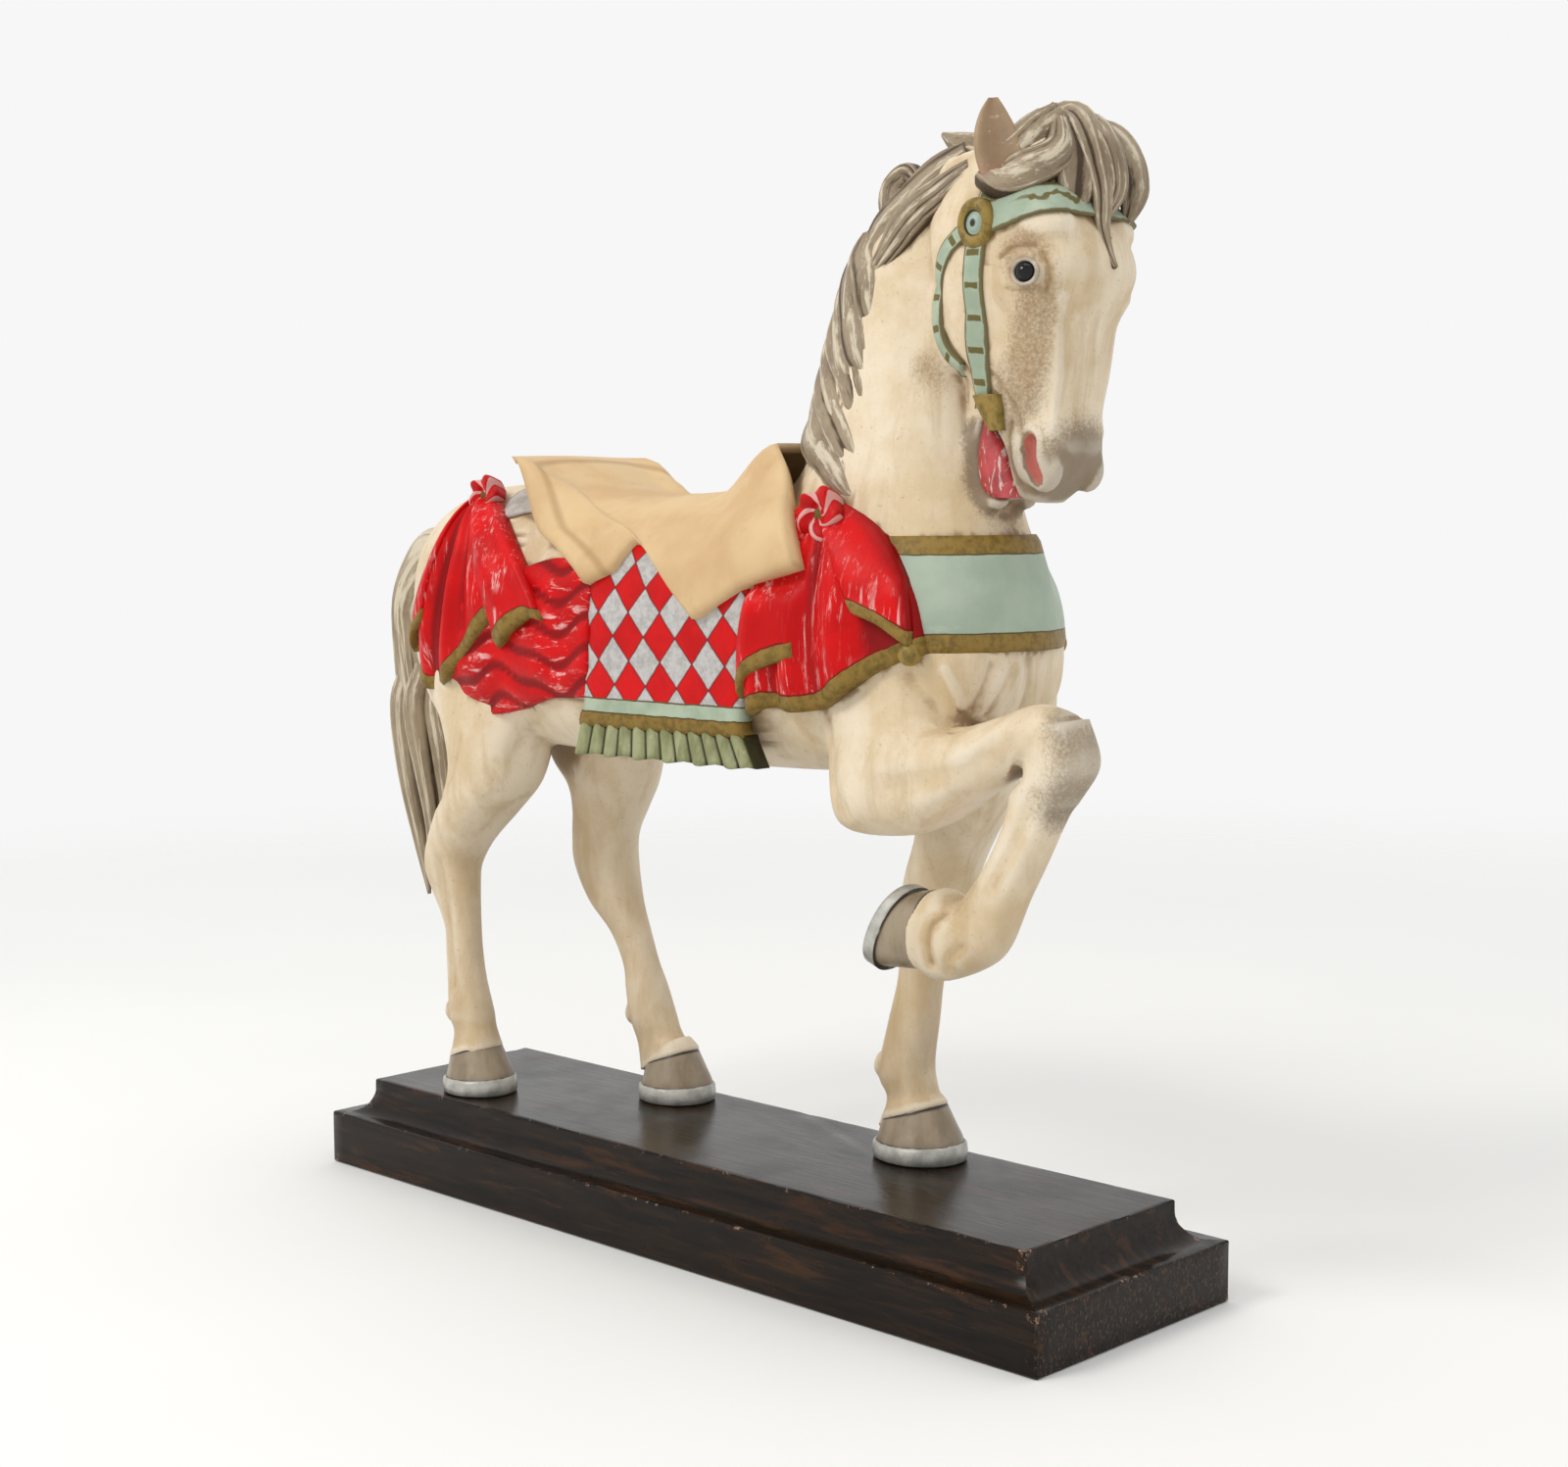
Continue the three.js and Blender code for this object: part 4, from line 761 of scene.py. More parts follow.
def saddle_points(across, f, inner):
    g = np.abs(across)
    x = mix(table(refine(SADDLE_REAR, 6), g, 1), table(refine(SADDLE_FRONT, 6), g, 1), f)
    low_x = mix(SADDLE_LOW_EDGE[0][0], SADDLE_LOW_EDGE[-1][0], f)
    middle, rise, half = trunk_at(x)
    low_share = np.clip((table(SADDLE_LOW_EDGE, low_x, 1) - middle) / rise, 0.02, 0.98)
    angle = g * np.arccos(low_share ** (TRUNK_SQUARE / 2))
    z = middle + rise * np.cos(angle) ** (2 / TRUNK_SQUARE)
    cantle = (CANTLE_TOP - z) * (1 - smoothstep(0, 0.3, f)) * (1 - smoothstep(0.5, 0.72, g))
    pommel = (POMMEL_TOP - z) * smoothstep(0.78, 1, f) * (1 - smoothstep(0.32, 0.6, g))
    flare = cantle + pommel
    if inner:
        lift = -3 + np.clip(flare, 0, 3)
    else:
        from_rear = f * SADDLE_REACH
        lip = 1.0 * np.exp(-(((from_rear - 5) / 4) ** 2)) - 0.8 * np.exp(-(((from_rear - 12) / 2.2) ** 2))
        lift = mix(3.6, 6.6, smoothstep(0.5, 0.85, g)) + lip * smoothstep(0.3, 0.6, g)
        lift += 4 * smoothstep(0.66, 0.95, f) * smoothstep(0.4, 0.7, g) - 0.9 * np.exp(-(1 - g) * 60 / 1.5)
    y = (half + lift) * np.sin(angle) ** (2 / TRUNK_SQUARE)
    return np.stack([x, np.sign(across) * y, z + lift * np.cos(angle) + flare], -1)


def saddle(shape):
    across, f = np.meshgrid(np.linspace(-1, 1, 61), np.linspace(0, 1, 40), indexing="ij")
    outer, inner = saddle_points(across, f, False), saddle_points(across, f, True)
    slab(shape, outer, inner, PART["saddle"], a=f * SADDLE_REACH)


def panel_edge(z, share):
    return mix(table(PANEL_EDGES, z, 1), table(PANEL_EDGES, z, 2), share)


def panel(shape, side):
    share, z = np.meshgrid(np.linspace(0, 1, 30), np.linspace(PANEL_TOP, FRINGE_TOP, 32), indexing="ij")
    x = panel_edge(z, share)
    proud = 3 + 1.1 * (1 - smoothstep(BORDER_TOP - 1, BORDER_TOP, z)) - 0.9 * np.exp(-(z - FRINGE_TOP) / 0.8)
    proud = proud - 0.8 * np.exp(-np.minimum(share, 1 - share) * 90 / 1.2)
    hang = np.maximum(trunk_side(x, z), PANEL_Y * (1 - smoothstep(250, PANEL_TOP, z)))
    patch(shape, np.stack([x, side * (hang + proud), z], -1), (0, -side * 7, 0), PART["panel"])
    share, low = np.meshgrid(np.linspace(0, 1, TASSELS * 6 + 1), np.linspace(0, 1, 7), indexing="ij")
    phase = np.abs(np.sin(share * TASSELS * math.pi)) ** 0.6
    z = mix(FRINGE_TOP + 1, FRINGE_LOW, low) - 0.7 * low * np.sin(share * 37) * phase
    ridge = 1.2 + 2.4 * phase + 2 * low
    points = np.stack([panel_edge(z, share), side * (PANEL_Y + ridge), z], -1)
    # Value a marks the slits between the tassels, painted as shade
    patch(shape, points, (0, -side * 7, 0), PART["fringe"], a=1 - phase)


def reach_out(tree, points, middle):
    """How far the skin lies beyond these points, looking out from an upright line at x = middle."""
    flat, centre = points.reshape(-1, 3), np.broadcast_to(middle, points.shape[:2]).ravel()
    found = np.zeros(len(flat))
    for n, (x, y, z) in enumerate(flat.tolist()):
        ray = Vector((x - centre[n], y, 0))
        here = ray.length
        ray.normalize()
        hit = tree.ray_cast(Vector((centre[n], 0, z)) + 90 * ray, -ray)
        if hit[0] is not None:
            found[n] = 90 - hit[3] - here
    found = np.maximum(found.reshape(points.shape[:2]), -0.9) + 0.9
    for _ in range(3):
        padded = np.pad(found, 1, mode="edge")
        found = (padded[:-2, 1:-1] + padded[2:, 1:-1] + padded[1:-1, :-2] + padded[1:-1, 2:] + 2 * found) / 6
    out = points * (1, 1, 0) - np.stack([np.broadcast_to(middle, found.shape), 0 * found, 0 * found], -1)
    return out / np.linalg.norm(out, axis=-1)[..., None] * found[..., None]


def collar(shape, tree):
    turn = np.linspace(-0.47, 0.47, 73) * math.pi
    turn, z = np.meshgrid(turn, np.linspace(COLLAR_LOW, COLLAR_TOP, 18), indexing="ij")
    front, half = table(COLLAR, z, 1), table(COLLAR, z, 2)

    def at(size):
        return np.stack([
            COLLAR_MIDDLE + (front - COLLAR_MIDDLE + size) * power(np.cos(turn), 2 / COLLAR_SQUARE),
            (half + size) * power(np.sin(turn), 2 / COLLAR_SQUARE),
            z,
        ], -1)

    edge = np.minimum(z - COLLAR_LOW, COLLAR_TOP - z)
    size = -0.9 * np.exp(-edge / 0.8) - 0.5 * np.exp(-(((edge - 6.2) / 0.7) ** 2))
    push = reach_out(tree, at(0), COLLAR_MIDDLE)
    slab(shape, at(size) + push, at(-6) + push, PART["collar"])


def knot(shape, place, radius, petals=5):
    x, y, z = place
    side = math.copysign(1, y)
    rows = refine([[0.8, -6], [1, 0], [0.82, 2.8], [0.5, 2.6], [0.3, 1.2], [0.12, 1.6]], 4)
    angle = np.arange(60) / 60 * 2 * math.pi
    rings, value = [], []
    for share, height in rows:
        twist = angle + (1 - share) * 1.4
        petal = np.cos(petals * twist)
        size = radius * share * (1 + 0.12 * petal)
        lift = side * (height + 0.9 * petal * share)
        rings.append(np.stack([x + size * np.cos(angle), y + lift, z + size * np.sin(angle)], 1))
        value.append(0.5 + 0.5 * np.cos(petals * twist + 1.2 + 1.1 * np.sin(twist)))
    loft(shape, rings, PART["knot"], a=np.array(value), b=np.repeat(rows[:, 0], 60))


def strap(shape, points, half_width, side, proud=1.5, reach=head_side, mat="strap", steps=8):
    fine = refine(points, steps)
    ahead = np.gradient(fine, axis=0)
    ahead /= np.linalg.norm(ahead, axis=1)[:, None]
    across = np.linspace(-1, 1, 9)
    x = fine[:, :1] - ahead[:, 1:] * across * half_width
    z = fine[:, 1:] + ahead[:, :1] * across * half_width
    along = np.concatenate([[0], np.cumsum(np.linalg.norm(np.diff(fine, axis=0), axis=1))])
    lift = proud * (1 - 0.35 * np.abs(across) ** 4)
    y = side * (reach(x, z) + lift)
    a = np.broadcast_to(along[:, None], x.shape)
    b = np.broadcast_to(across, x.shape)
    patch(shape, np.stack([x, y, z], -1), (0, -side * 3.5, 0), PART[mat], a=a, b=b)


# The round boss where the straps meet: rows [share of its radius, height]
ROSETTE = [[1, -5], [1.02, 0.4], [0.9, 2], [0.72, 2.6], [0.52, 2], [0.44, 1], [0.3, 1.6], [0.1, 2.2]]


def bridle(shape, tree):
    share, up = np.meshgrid(np.linspace(-1, 1, 61), np.linspace(-1, 1, 7), indexing="ij")
    z = table(refine(BROWBAND, 4), share, 1) + up * 5.4
    middle, reach, half = head_at(z)
    angle = share * math.pi / 2

    def at(size):
        return np.stack([
            middle + (reach + size) * power(np.cos(angle), 2 / HEAD_SQUARE),
            (half + size) * power(np.sin(angle), 2 / HEAD_SQUARE),
            z,
        ], -1)

    push = reach_out(tree, at(0.4), middle)
    outer, inner = at(1.9 - 0.5 * np.abs(up) ** 4) + push, at(-3) + push
    slab(shape, outer, inner, PART["strap"], a=share * 50 + 100, b=up, c=np.full(share.shape, 2.0))
    for side in (-1, 1):
        strap(shape, [[152.5, 388], [151, 366], [148.5, 345], [146, 326]], 4.3, side, 1.6, cheek_side)
        throat = [[149, 389], [138, 381], [131.5, 369], [130, 356], [132, 347], [138, 340]]
        strap(shape, throat, 3.2, side, 1.3, cheek_side)
        strap(shape, [[152, 390], [154, 399], [157, 406]], 4, side, 1.6)
        strap(shape, [[148.3, 331], [148.3, 325], [148.3, 318.5]], 7, side, 3.6, mat="boss")
        rows = refine(ROSETTE, 3)
        turn = np.arange(48) / 48 * 2 * math.pi
        rings = [
            np.stack([
                152.5 + 7.5 * s * np.cos(turn),
                side * (27.8 + h) + 0 * turn,
                389 + 8.6 * s * np.sin(turn),
            ], 1)
            for s, h in rows
        ]
        loft(shape, rings, PART["boss"], a=np.repeat(rows[:, 0], 48), b=np.full(len(rows) * 48, 3.0))


def widen(rows, times):
    return np.array(rows) * (1, 1, 1, times, 1)


def tail(shape):
    fine = refine(TAIL, 6)
    angle = np.arange(88) / 88 * 2 * math.pi
    drift = np.linspace(0, 0.5, len(fine))[:, None]
    wave = np.abs(np.cos(4.5 * angle + 3 * drift + 0.5 * np.sin(2 * angle))) ** 0.5
    fade = smoothstep(0.2, 0.6, np.linspace(0, 1, len(fine)))[:, None]
    swell = 1 + 0.06 * (wave - 0.5) * fade + 0.025 * np.cos(29 * angle + 9 * drift) * fade
    rings = []
    for (ax, az, bx, bz, w, y), s in zip(fine, swell):
        along = 0.5 + 0.5 * power(np.cos(angle), 2 / 2.2) * s
        across = w * power(np.sin(angle), 2 / 2.2) * s
        rings.append(np.stack([mix(bx, ax, along), y + across, mix(bz, az, along)], 1))
    b, c = 2 * np.broadcast_to(drift, wave.shape), 2 * angle + drift
    # Painted shade in the grooves of the tail
    loft(shape, rings, PART["hair"], a=0.62 * (1 - wave) * fade, b=b, c=c)
    for rows in TAIL_LOCKS:
        x, y, z, w, t = rows[0]
        start = [[x + 4, 0.5 * y, z + 34, 2, 2], [x + 1, 0.8 * y, z + 16, 0.8 * w, 0.6 * t]]
        lock(shape, start + rows, (0, math.copysign(1, y), 0), 6, 3, 24, 1.0, 0.62)


def mane(shape):
    ridge = limb_rings(MANE_RIDGE, 24, 5)
    # The ridge under the locks takes part of the painted groove shade
    loft(shape, ridge, PART["hair"], a=np.full(ridge.shape[:2], 0.45))
    for locks, side in ((NEAR_LOCKS, -1), (FAR_LOCKS, 1)):
        locks = [widen(rows, 1.35) for rows in locks]
        for n, rows in enumerate(locks):
            lock(shape, rows, (0, side, 0.25), 8, 4, 28, 1.5)
            if 0 < n < 5:
                between = (rows + locks[n - 1]) / 2 + (-2, -1.5 * side, 0, 0, 0)
                lock(shape, between, (0, side, 0.25), 8, 3, 24, 1.5)
    for rows in (POLL_LOCK, CURL):
        lock(shape, rows, (0, -1, 0), 7, 3, 24)


def forelock(shape):
    for rows in FORELOCK:
        rows = widen(rows, 1.2)
        middle, reach, half = head_at(rows[:, 2])
        share = np.clip(np.abs(rows[:, 1]) / half, 0, 0.98)
        brow = middle + reach * (1 - share ** HEAD_SQUARE) ** (1 / HEAD_SQUARE)
        below = rows[:, 2] < 402
        rows[:, 0] = np.where(below, np.maximum(rows[:, 0], brow + 1.2), rows[:, 0])
        lock(shape, rows, (0.8, -0.3, 0.5), 7, 4, 28, 0.7)


def ears(shape):
    fine = refine(NEAR_EAR, 7)
    theta = np.arange(32) / 32 * 2 * math.pi
    out = np.array([0.5, -0.85, 0.0]) / np.linalg.norm([0.5, -0.85])
    side = np.array([out[1], -out[0], 0])
    dish = np.sin(theta)
    # Value a marks the inside of the ear, where its hollow is painted as shade
    inside = np.clip(dish, 0, 1)
    dish = np.where(dish > 0, dish * (1 - 0.85 * dish ** 2), dish)
    rings = np.array([
        np.array([x, y, z]) + np.outer(np.cos(theta) * w * 0.8, side) + np.outer(dish * t, out)
        for x, y, z, w, t in fine
    ])
    up = np.repeat(np.linspace(0, 1, len(fine)), 32)
    for both in (rings, mirror(rings)):
        loft(shape, both, PART["ear"], a=np.tile(inside, len(fine)), b=up)


def hooves(shape):
    for place in HOOVES:
        rings = [hoof_ring(place, *row) for row in SHOE]
        loft(shape, rings, PART["shoe"], a=np.repeat([0.6, 0.2, 0, 0.3, 1], 48))
        rings = [hoof_ring(place, *row) for row in refine(WALL, 4)]
        loft(shape, rings, PART["hoof"], a=np.repeat(np.linspace(0, 1, len(rings)), 48))
    rings = limb_rings(RAISED_HOOF, 48, 6)
    loft(shape, rings, PART["hoof"], a=np.repeat(np.linspace(1, 0, len(rings)), 48))
    loft(shape, limb_rings(RAISED_SHOE, 48, 4), PART["shoe"], a=np.repeat([1, 0.3, 0, 0.2, 0.6], 48))


def mouth(shape):
    theta = np.arange(28) / 28 * 2 * math.pi
    rings = []
    for front, z, back, t in refine(MOUTH, 6):
        along = (front + back) / 2 + (front - back) / 2 * np.cos(theta)
        across = (11.4 + 0.2 * t) * power(np.sin(theta), 0.5)
        rings.append(np.stack([along, across, z + 0 * theta], 1))
    loft(shape, rings, PART["mouth"])


def eye_frame(side):
    """The eye's centre, and the directions out of the head, along the lids and up."""
    out = np.array([0.3, side, 0.04]) / math.sqrt(0.3 ** 2 + 1 + 0.04 ** 2)
    right = np.cross(out, (0, 0, 1))
    right /= np.linalg.norm(right)
    return np.array([EYE_PLACE[0], side * EYE_PLACE[1], EYE_PLACE[2]]), out, right, np.cross(right, out)


def lids(shape):
    n, m = 40, 12
    tube = np.arange(m) / m * 2 * math.pi
    for side in (-1, 1):
        centre, out, right, up = eye_frame(side)
        rings = []
        for k in range(n):
            turn = k / n * 2 * math.pi
            ray = right * math.cos(turn) * 1.06 + up * math.sin(turn)
            round_it = np.outer(np.cos(tube) * 0.7, ray) + np.outer(np.sin(tube) * 0.7, out)
            rings.append(centre + out * 1.5 + ray * 4.15 + round_it)
        faces = ring_faces(n + 1, m)
        shape.add(np.array(rings), [tuple(p % (n * m) for p in face) for face in faces], PART["lid"])


# The silver cloth under the saddle's rear, in threads as the drapes have
SILVER = [
    [[-106, 302, 2.4], [-97, 288.5, 2.4]], [[-93, 306, 2.4], [-84, 291.5, 2.4]],
    [[-75, 303, 2.4], [-70, 288.5, 2.4]], [[-57, 294, 2.4], [-57, 283, 2.4]],
    [[-42, 282, 2.4], [-45, 275, 2.4]], [[-33, 270, 2.4], [-39, 269, 2.4]],
]


def shade(shape, rays):
    """Painted shade in hollows and under things, and the old varnish that settles there: the share of short
    rays from each skin point that hit something.
    """
    points = shape.points[0]
    faces = np.array([f for f in shape.faces if len(f) == 3 and max(f) < len(points)])
    normals = np.zeros_like(points)
    a, b, c = (points[faces[:, k]] for k in range(3))
    across = np.cross(b - a, c - a)
    for k in range(3):
        np.add.at(normals, faces[:, k], across)
    normals /= np.linalg.norm(normals, axis=1)[:, None] + 1e-12
    tree = BVHTree.FromPolygons(np.concatenate(shape.points).tolist(), shape.faces)
    ways = np.random.default_rng(SEED).normal(size=(rays, 3))
    ways /= np.linalg.norm(ways, axis=1)[:, None]
    hidden = np.zeros(len(points))
    for way in ways:
        up = np.sign(normals @ way)[:, None] * way + 0.5 * normals
        up /= np.linalg.norm(up, axis=1)[:, None]
        start = points + 0.8 * normals
        for n, (place, ray) in enumerate(zip(start.tolist(), up.tolist())):
            hit = tree.ray_cast(place, ray, 40.0)
            if hit[0] is not None:
                hidden[n] += 1 - hit[3] / 50
    # Painted shade where the rays are stopped, added to the skin's dirt
    dirt_and_shade = shape.values["a"][0] + 0.85 * smoothstep(0.12, 0.6, hidden / rays)
    shape.values["a"][0] = np.clip(dirt_and_shade, 0, 1)


def horse_shape():
    s = Shape()
    low, faces, dirt_and_shade, grey, pink = make_skin(64000)
    s.add(low, faces, PART["skin"], a=dirt_and_shade, b=grey, c=pink)
    for part in (hooves, ears, tail, mane, forelock, saddle):
        part(s)
    tree = BVHTree.FromPolygons(low.tolist(), faces)
    collar(s, tree)
    for side in (-1, 1):
        fine = 7 if side < 0 else 5
        red = PART["red"]
        cloth(s, SILVER, side, PART["silver"], 5, 6, drop=5)
        cloth(s, REAR_SWAG, side, red, fine, 2 * fine, ripple=0.75)
        cloth(s, REAR_DRAPE, side, red, fine, fine, hem=6, depth=1.3)
        cloth(s, REAR_DRAPE_FRONT, side, red, fine, fine, hem=6)
        cloth(s, FRONT_DRAPE, side, red, fine, fine, hem=5.5, depth=1.4)
        for threads, hem in ((REAR_FOLD, 6), (FRONT_FOLD_LEFT, 5.5), (FRONT_FOLD_RIGHT, 5.5)):
            cloth(s, threads, side, red, fine, fine, hem=hem, drop=4)
        panel(s, side)
        knot(s, (-112, side * 34, 299), 8)
        knot(s, (90, side * 41, 290), 9.5)
        button = ball_rings((133, side * 41, 241), (4.5, 4.5, 4.5), 24, 12)
        loft(s, button, PART["boss"], b=np.ones(24 * 12))
    bridle(s, tree)
    mouth(s)
    lids(s)
    shade(s, 14)
    return s


# Materials
TONE = 0.84  # paint as seen under this light, brought back to its own shade


def rgb(code, tone=TONE):
    channels = [int(code[i:i + 2], 16) / 255 for i in (0, 2, 4)]
    linear = [c / 12.92 if c <= 0.04045 else ((c + 0.055) / 1.055) ** 2.4 for c in channels]
    return tuple(tone * c for c in linear) + (1.0,)


class Paint:
    """A procedural material, made node by node. Textures follow the object's own coordinates."""

    def __init__(self, name, metallic=0.0, coat=0.0, specular=0.3):
        self.material = bpy.data.materials.new(name)
        self.material.use_nodes = True
        self.tree = self.material.node_tree
        self.shader = self.tree.nodes["Principled BSDF"]
        self.shader.inputs["Metallic"].default_value = metallic
        self.shader.inputs["Coat Weight"].default_value = coat
        self.shader.inputs["Specular IOR Level"].default_value = specular
        self.place = self.node("ShaderNodeTexCoord", {}).outputs["Object"]
        self.axes = self.node("ShaderNodeSeparateXYZ", {0: self.place}).outputs
        self.color = None

    def connect(self, value, socket):
        if isinstance(value, bpy.types.NodeSocket):
            self.tree.links.new(value, socket)
        else:
            socket.default_value = value

    def node(self, kind, inputs, **settings):
        made = self.tree.nodes.new(kind)
        for name, value in settings.items():
            setattr(made, name, value)
        for name, value in inputs.items():
            self.connect(value, made.inputs[name])
        return made

    def math(self, operation, a, b=0.0):
        return self.node("ShaderNodeMath", {0: a, 1: b}, operation=operation).outputs[0]

    def mul(self, a, b):
        return self.math("MULTIPLY", a, b)

    def add(self, a, b):
        return self.math("ADD", a, b)

    def off(self, a, b=0.0):
        """How far a is from b."""
        return self.math("ABSOLUTE", self.math("SUBTRACT", a, b))

    def value(self, name):
        return self.node("ShaderNodeAttribute", {}, attribute_name=name).outputs["Fac"]

    def mm(self, axis):
        return self.mul(self.axes["XYZ".index(axis)], 1000.0)

    def noise(self, scale, detail=4.0, rough=0.55, distort=0.0, stretch=(1, 1, 1), where=None):
        where = self.place if where is None else where
        if stretch != (1, 1, 1):
            where = self.node("ShaderNodeMapping", {"Vector": where, "Scale": stretch}).outputs[0]
        inputs = {"Vector": where, "Scale": scale, "Detail": detail, "Roughness": rough}
        inputs["Distortion"] = distort
        return self.node("ShaderNodeTexNoise", inputs).outputs[0]

    def ramp(self, value, low, high, start=0.0, end=1.0):
        inputs = {"Value": value, "From Min": low, "From Max": high, "To Min": start, "To Max": end}
        return self.node("ShaderNodeMapRange", inputs, interpolation_type="SMOOTHSTEP").outputs[0]

    def wobble(self, value, scale, amount, detail=3, rough=0.55, where=None):
        """A value moved up and down by noise."""
        noise = self.noise(scale, detail, rough, where=where)
        return self.add(value, self.mul(self.math("SUBTRACT", noise, 0.5), amount))

    def gloss(self, scale, low, high, detail=3):
        return self.ramp(self.noise(scale, detail), 0.3, 0.7, low, high)

    def blend(self, share, a, b):
        """Two colours mixed, each a socket or a code."""
        a, b = (rgb(c) if isinstance(c, str) else c for c in (a, b))
        return self.node("ShaderNodeMix", {0: share, 6: a, 7: b}, data_type="RGBA").outputs[2]

    def mottle(self, noise, one, two, low=0.35, high=0.65):
        return self.blend(self.ramp(self.noise(*noise), low, high), one, two)

    def cover(self, share, paint):
        self.color = self.blend(share, self.color, paint)

    def finish(self, rough, bump=None, strength=0.3, distance=0.0006):
        self.connect(self.color, self.shader.inputs["Base Color"])
        self.connect(rough, self.shader.inputs["Roughness"])
        if bump is not None:
            inputs = {"Height": bump, "Strength": strength, "Distance": distance}
            self.connect(self.node("ShaderNodeBump", inputs).outputs[0], self.shader.inputs["Normal"])
        return self.material


def skin_paint():
    p = Paint("aged_ivory_paint")
    dirt_and_shade, grey, pink = (p.value(name) for name in Shape.VALUES)
    p.color = p.mottle((24, 6, 0.65), "F0E0C5", "DCC49C", 0.36, 0.66)
    p.cover(p.ramp(p.noise(90, 6, 0.6, 0.4, (1, 1, 0.18)), 0.46, 0.7, 0, 0.5), "C6A97C")
    runs = p.ramp(p.noise(70, 5, 0.6, 0.3, (1, 1, 0.3)), 0.35, 0.65, 0.4, 1)
    p.cover(p.mul(p.ramp(p.mm("Z"), 190, 90, 0, 0.75), runs), "BFA278")
    # Brown for the dirt and for the painted shade in hollows and under things
    p.cover(p.ramp(p.wobble(dirt_and_shade, 160, 0.5, 6, 0.7), 0.16, 0.8, 0, 0.8), "8D6C46")
    rubbed = p.ramp(p.wobble(grey, 800, 1.5, 6, 0.85), 0.15, 0.85, 0, 0.85)
    wash = p.blend(p.ramp(p.mm("Z"), 318, 336), "806E59", "93744F")
    p.cover(p.mul(rubbed, p.ramp(grey, 0.02, 0.2)), wash)
    p.cover(p.ramp(pink, 0.15, 0.6), "C0695C")
    # Cream on the ridges: rubbed wear and painted highlight
    p.cover(p.ramp(pink, -0.15, -0.5, 0, 0.45), "F3E9D6")
    p.cover(p.ramp(p.noise(620, 4, 0.7), 0.6, 0.72, 0, 0.5), "A98A5F")
    bump = p.add(p.noise(60, 5, 0.6, 0.2, (1, 1, 0.35)), p.mul(p.noise(650, 4), 0.35))
    return p.finish(p.gloss(40, 0.42, 0.6), bump, 0.35, 0.0007)


def hair_paint():
    p = Paint("carved_hair_paint")
    along = p.node("ShaderNodeCombineXYZ", {0: p.value("c"), 1: p.mul(p.value("b"), 1.6)}).outputs[0]
    fine = p.noise(9, 3, 0.6, where=along)
    groove = p.wobble(p.value("a"), 3.2, 0.9, 4, 0.6, along)
    p.color = p.mottle((45, 5), "A6947A", "8F7D65")
    # Painted highlight on the strands
    p.cover(p.ramp(groove, 0.14, -0.02, 0, 0.9), "DACEB5")
    # Painted shade in the grooves and under the locks
    p.cover(p.ramp(groove, 0.4, 0.72, 0, 0.95), "402F1C")
    p.cover(p.ramp(fine, 0.6, 0.68, 0, 0.5), "5C4A33")
    # Light flecks on the strands, a painted highlight
    p.cover(p.mul(p.ramp(fine, 0.42, 0.34, 0, 0.6), p.ramp(groove, 0.35, 0.2)), "E2D8C3")
    return p.finish(p.gloss(60, 0.38, 0.58), p.add(p.mul(groove, -0.8), fine), 0.45)


def ear_paint():
    p = Paint("ear_paint")
    p.color = p.mottle((60, 5), "AD9271", "957C5F")
    # Painted shade in the ear's hollow
    p.cover(p.ramp(p.value("a"), 0.5, 0.95, 0, 0.55), "7D644B")
    p.cover(p.ramp(p.value("b"), 0.4, 0.05, 0, 0.75), "CF8E7C")
    p.cover(p.ramp(p.noise(300, 5, 0.7), 0.6, 0.72, 0, 0.8), "DFD2BA")
    return p.finish(0.5, p.noise(400))


def hoof_paint():
    p = Paint("hoof_paint", specular=0.5)
    p.color = p.mottle((110, 5, 0.6, 0, (1, 1, 0.25)), "A3937A", "8A7961")
    p.cover(p.ramp(p.wobble(p.value("a"), 180, 0.06), 0.6, 0.67), "35261A")
    return p.finish(p.gloss(70, 0.28, 0.45), p.noise(320), 0.25)


def shoe_paint():
    p = Paint("silver_paint", metallic=0.35)
    p.color = p.mottle((150, 5), "CBC9C1", "A9A79F")
    p.cover(p.ramp(p.wobble(p.value("a"), 260, 0.5), 0.75, 1.0), "4A4034")
    return p.finish(p.gloss(90, 0.35, 0.55), p.noise(500), 0.25)


def saddle_paint():
    p = Paint("saddle_paint")
    p.color = p.mottle((25, 4), "E0C191", "D2AE7F")
    p.cover(p.ramp(p.noise(80, 6, 0.65, 0.3), 0.55, 0.75, 0, 0.4), "BE9760")
    # A darker band in the crease behind the rolled rear edge: painted shade
    p.cover(p.ramp(p.off(p.value("a"), 12.0), 3.5, 0.3, 0, 0.45), "9C7646")
    return p.finish(p.gloss(50, 0.5, 0.66), p.add(p.noise(110, 5), p.mul(p.noise(800, 3), 0.3)))


def gold(p, scale, one, two):
    return p.mottle((scale, 5, 0.7), one, two, 0.4, 0.65)


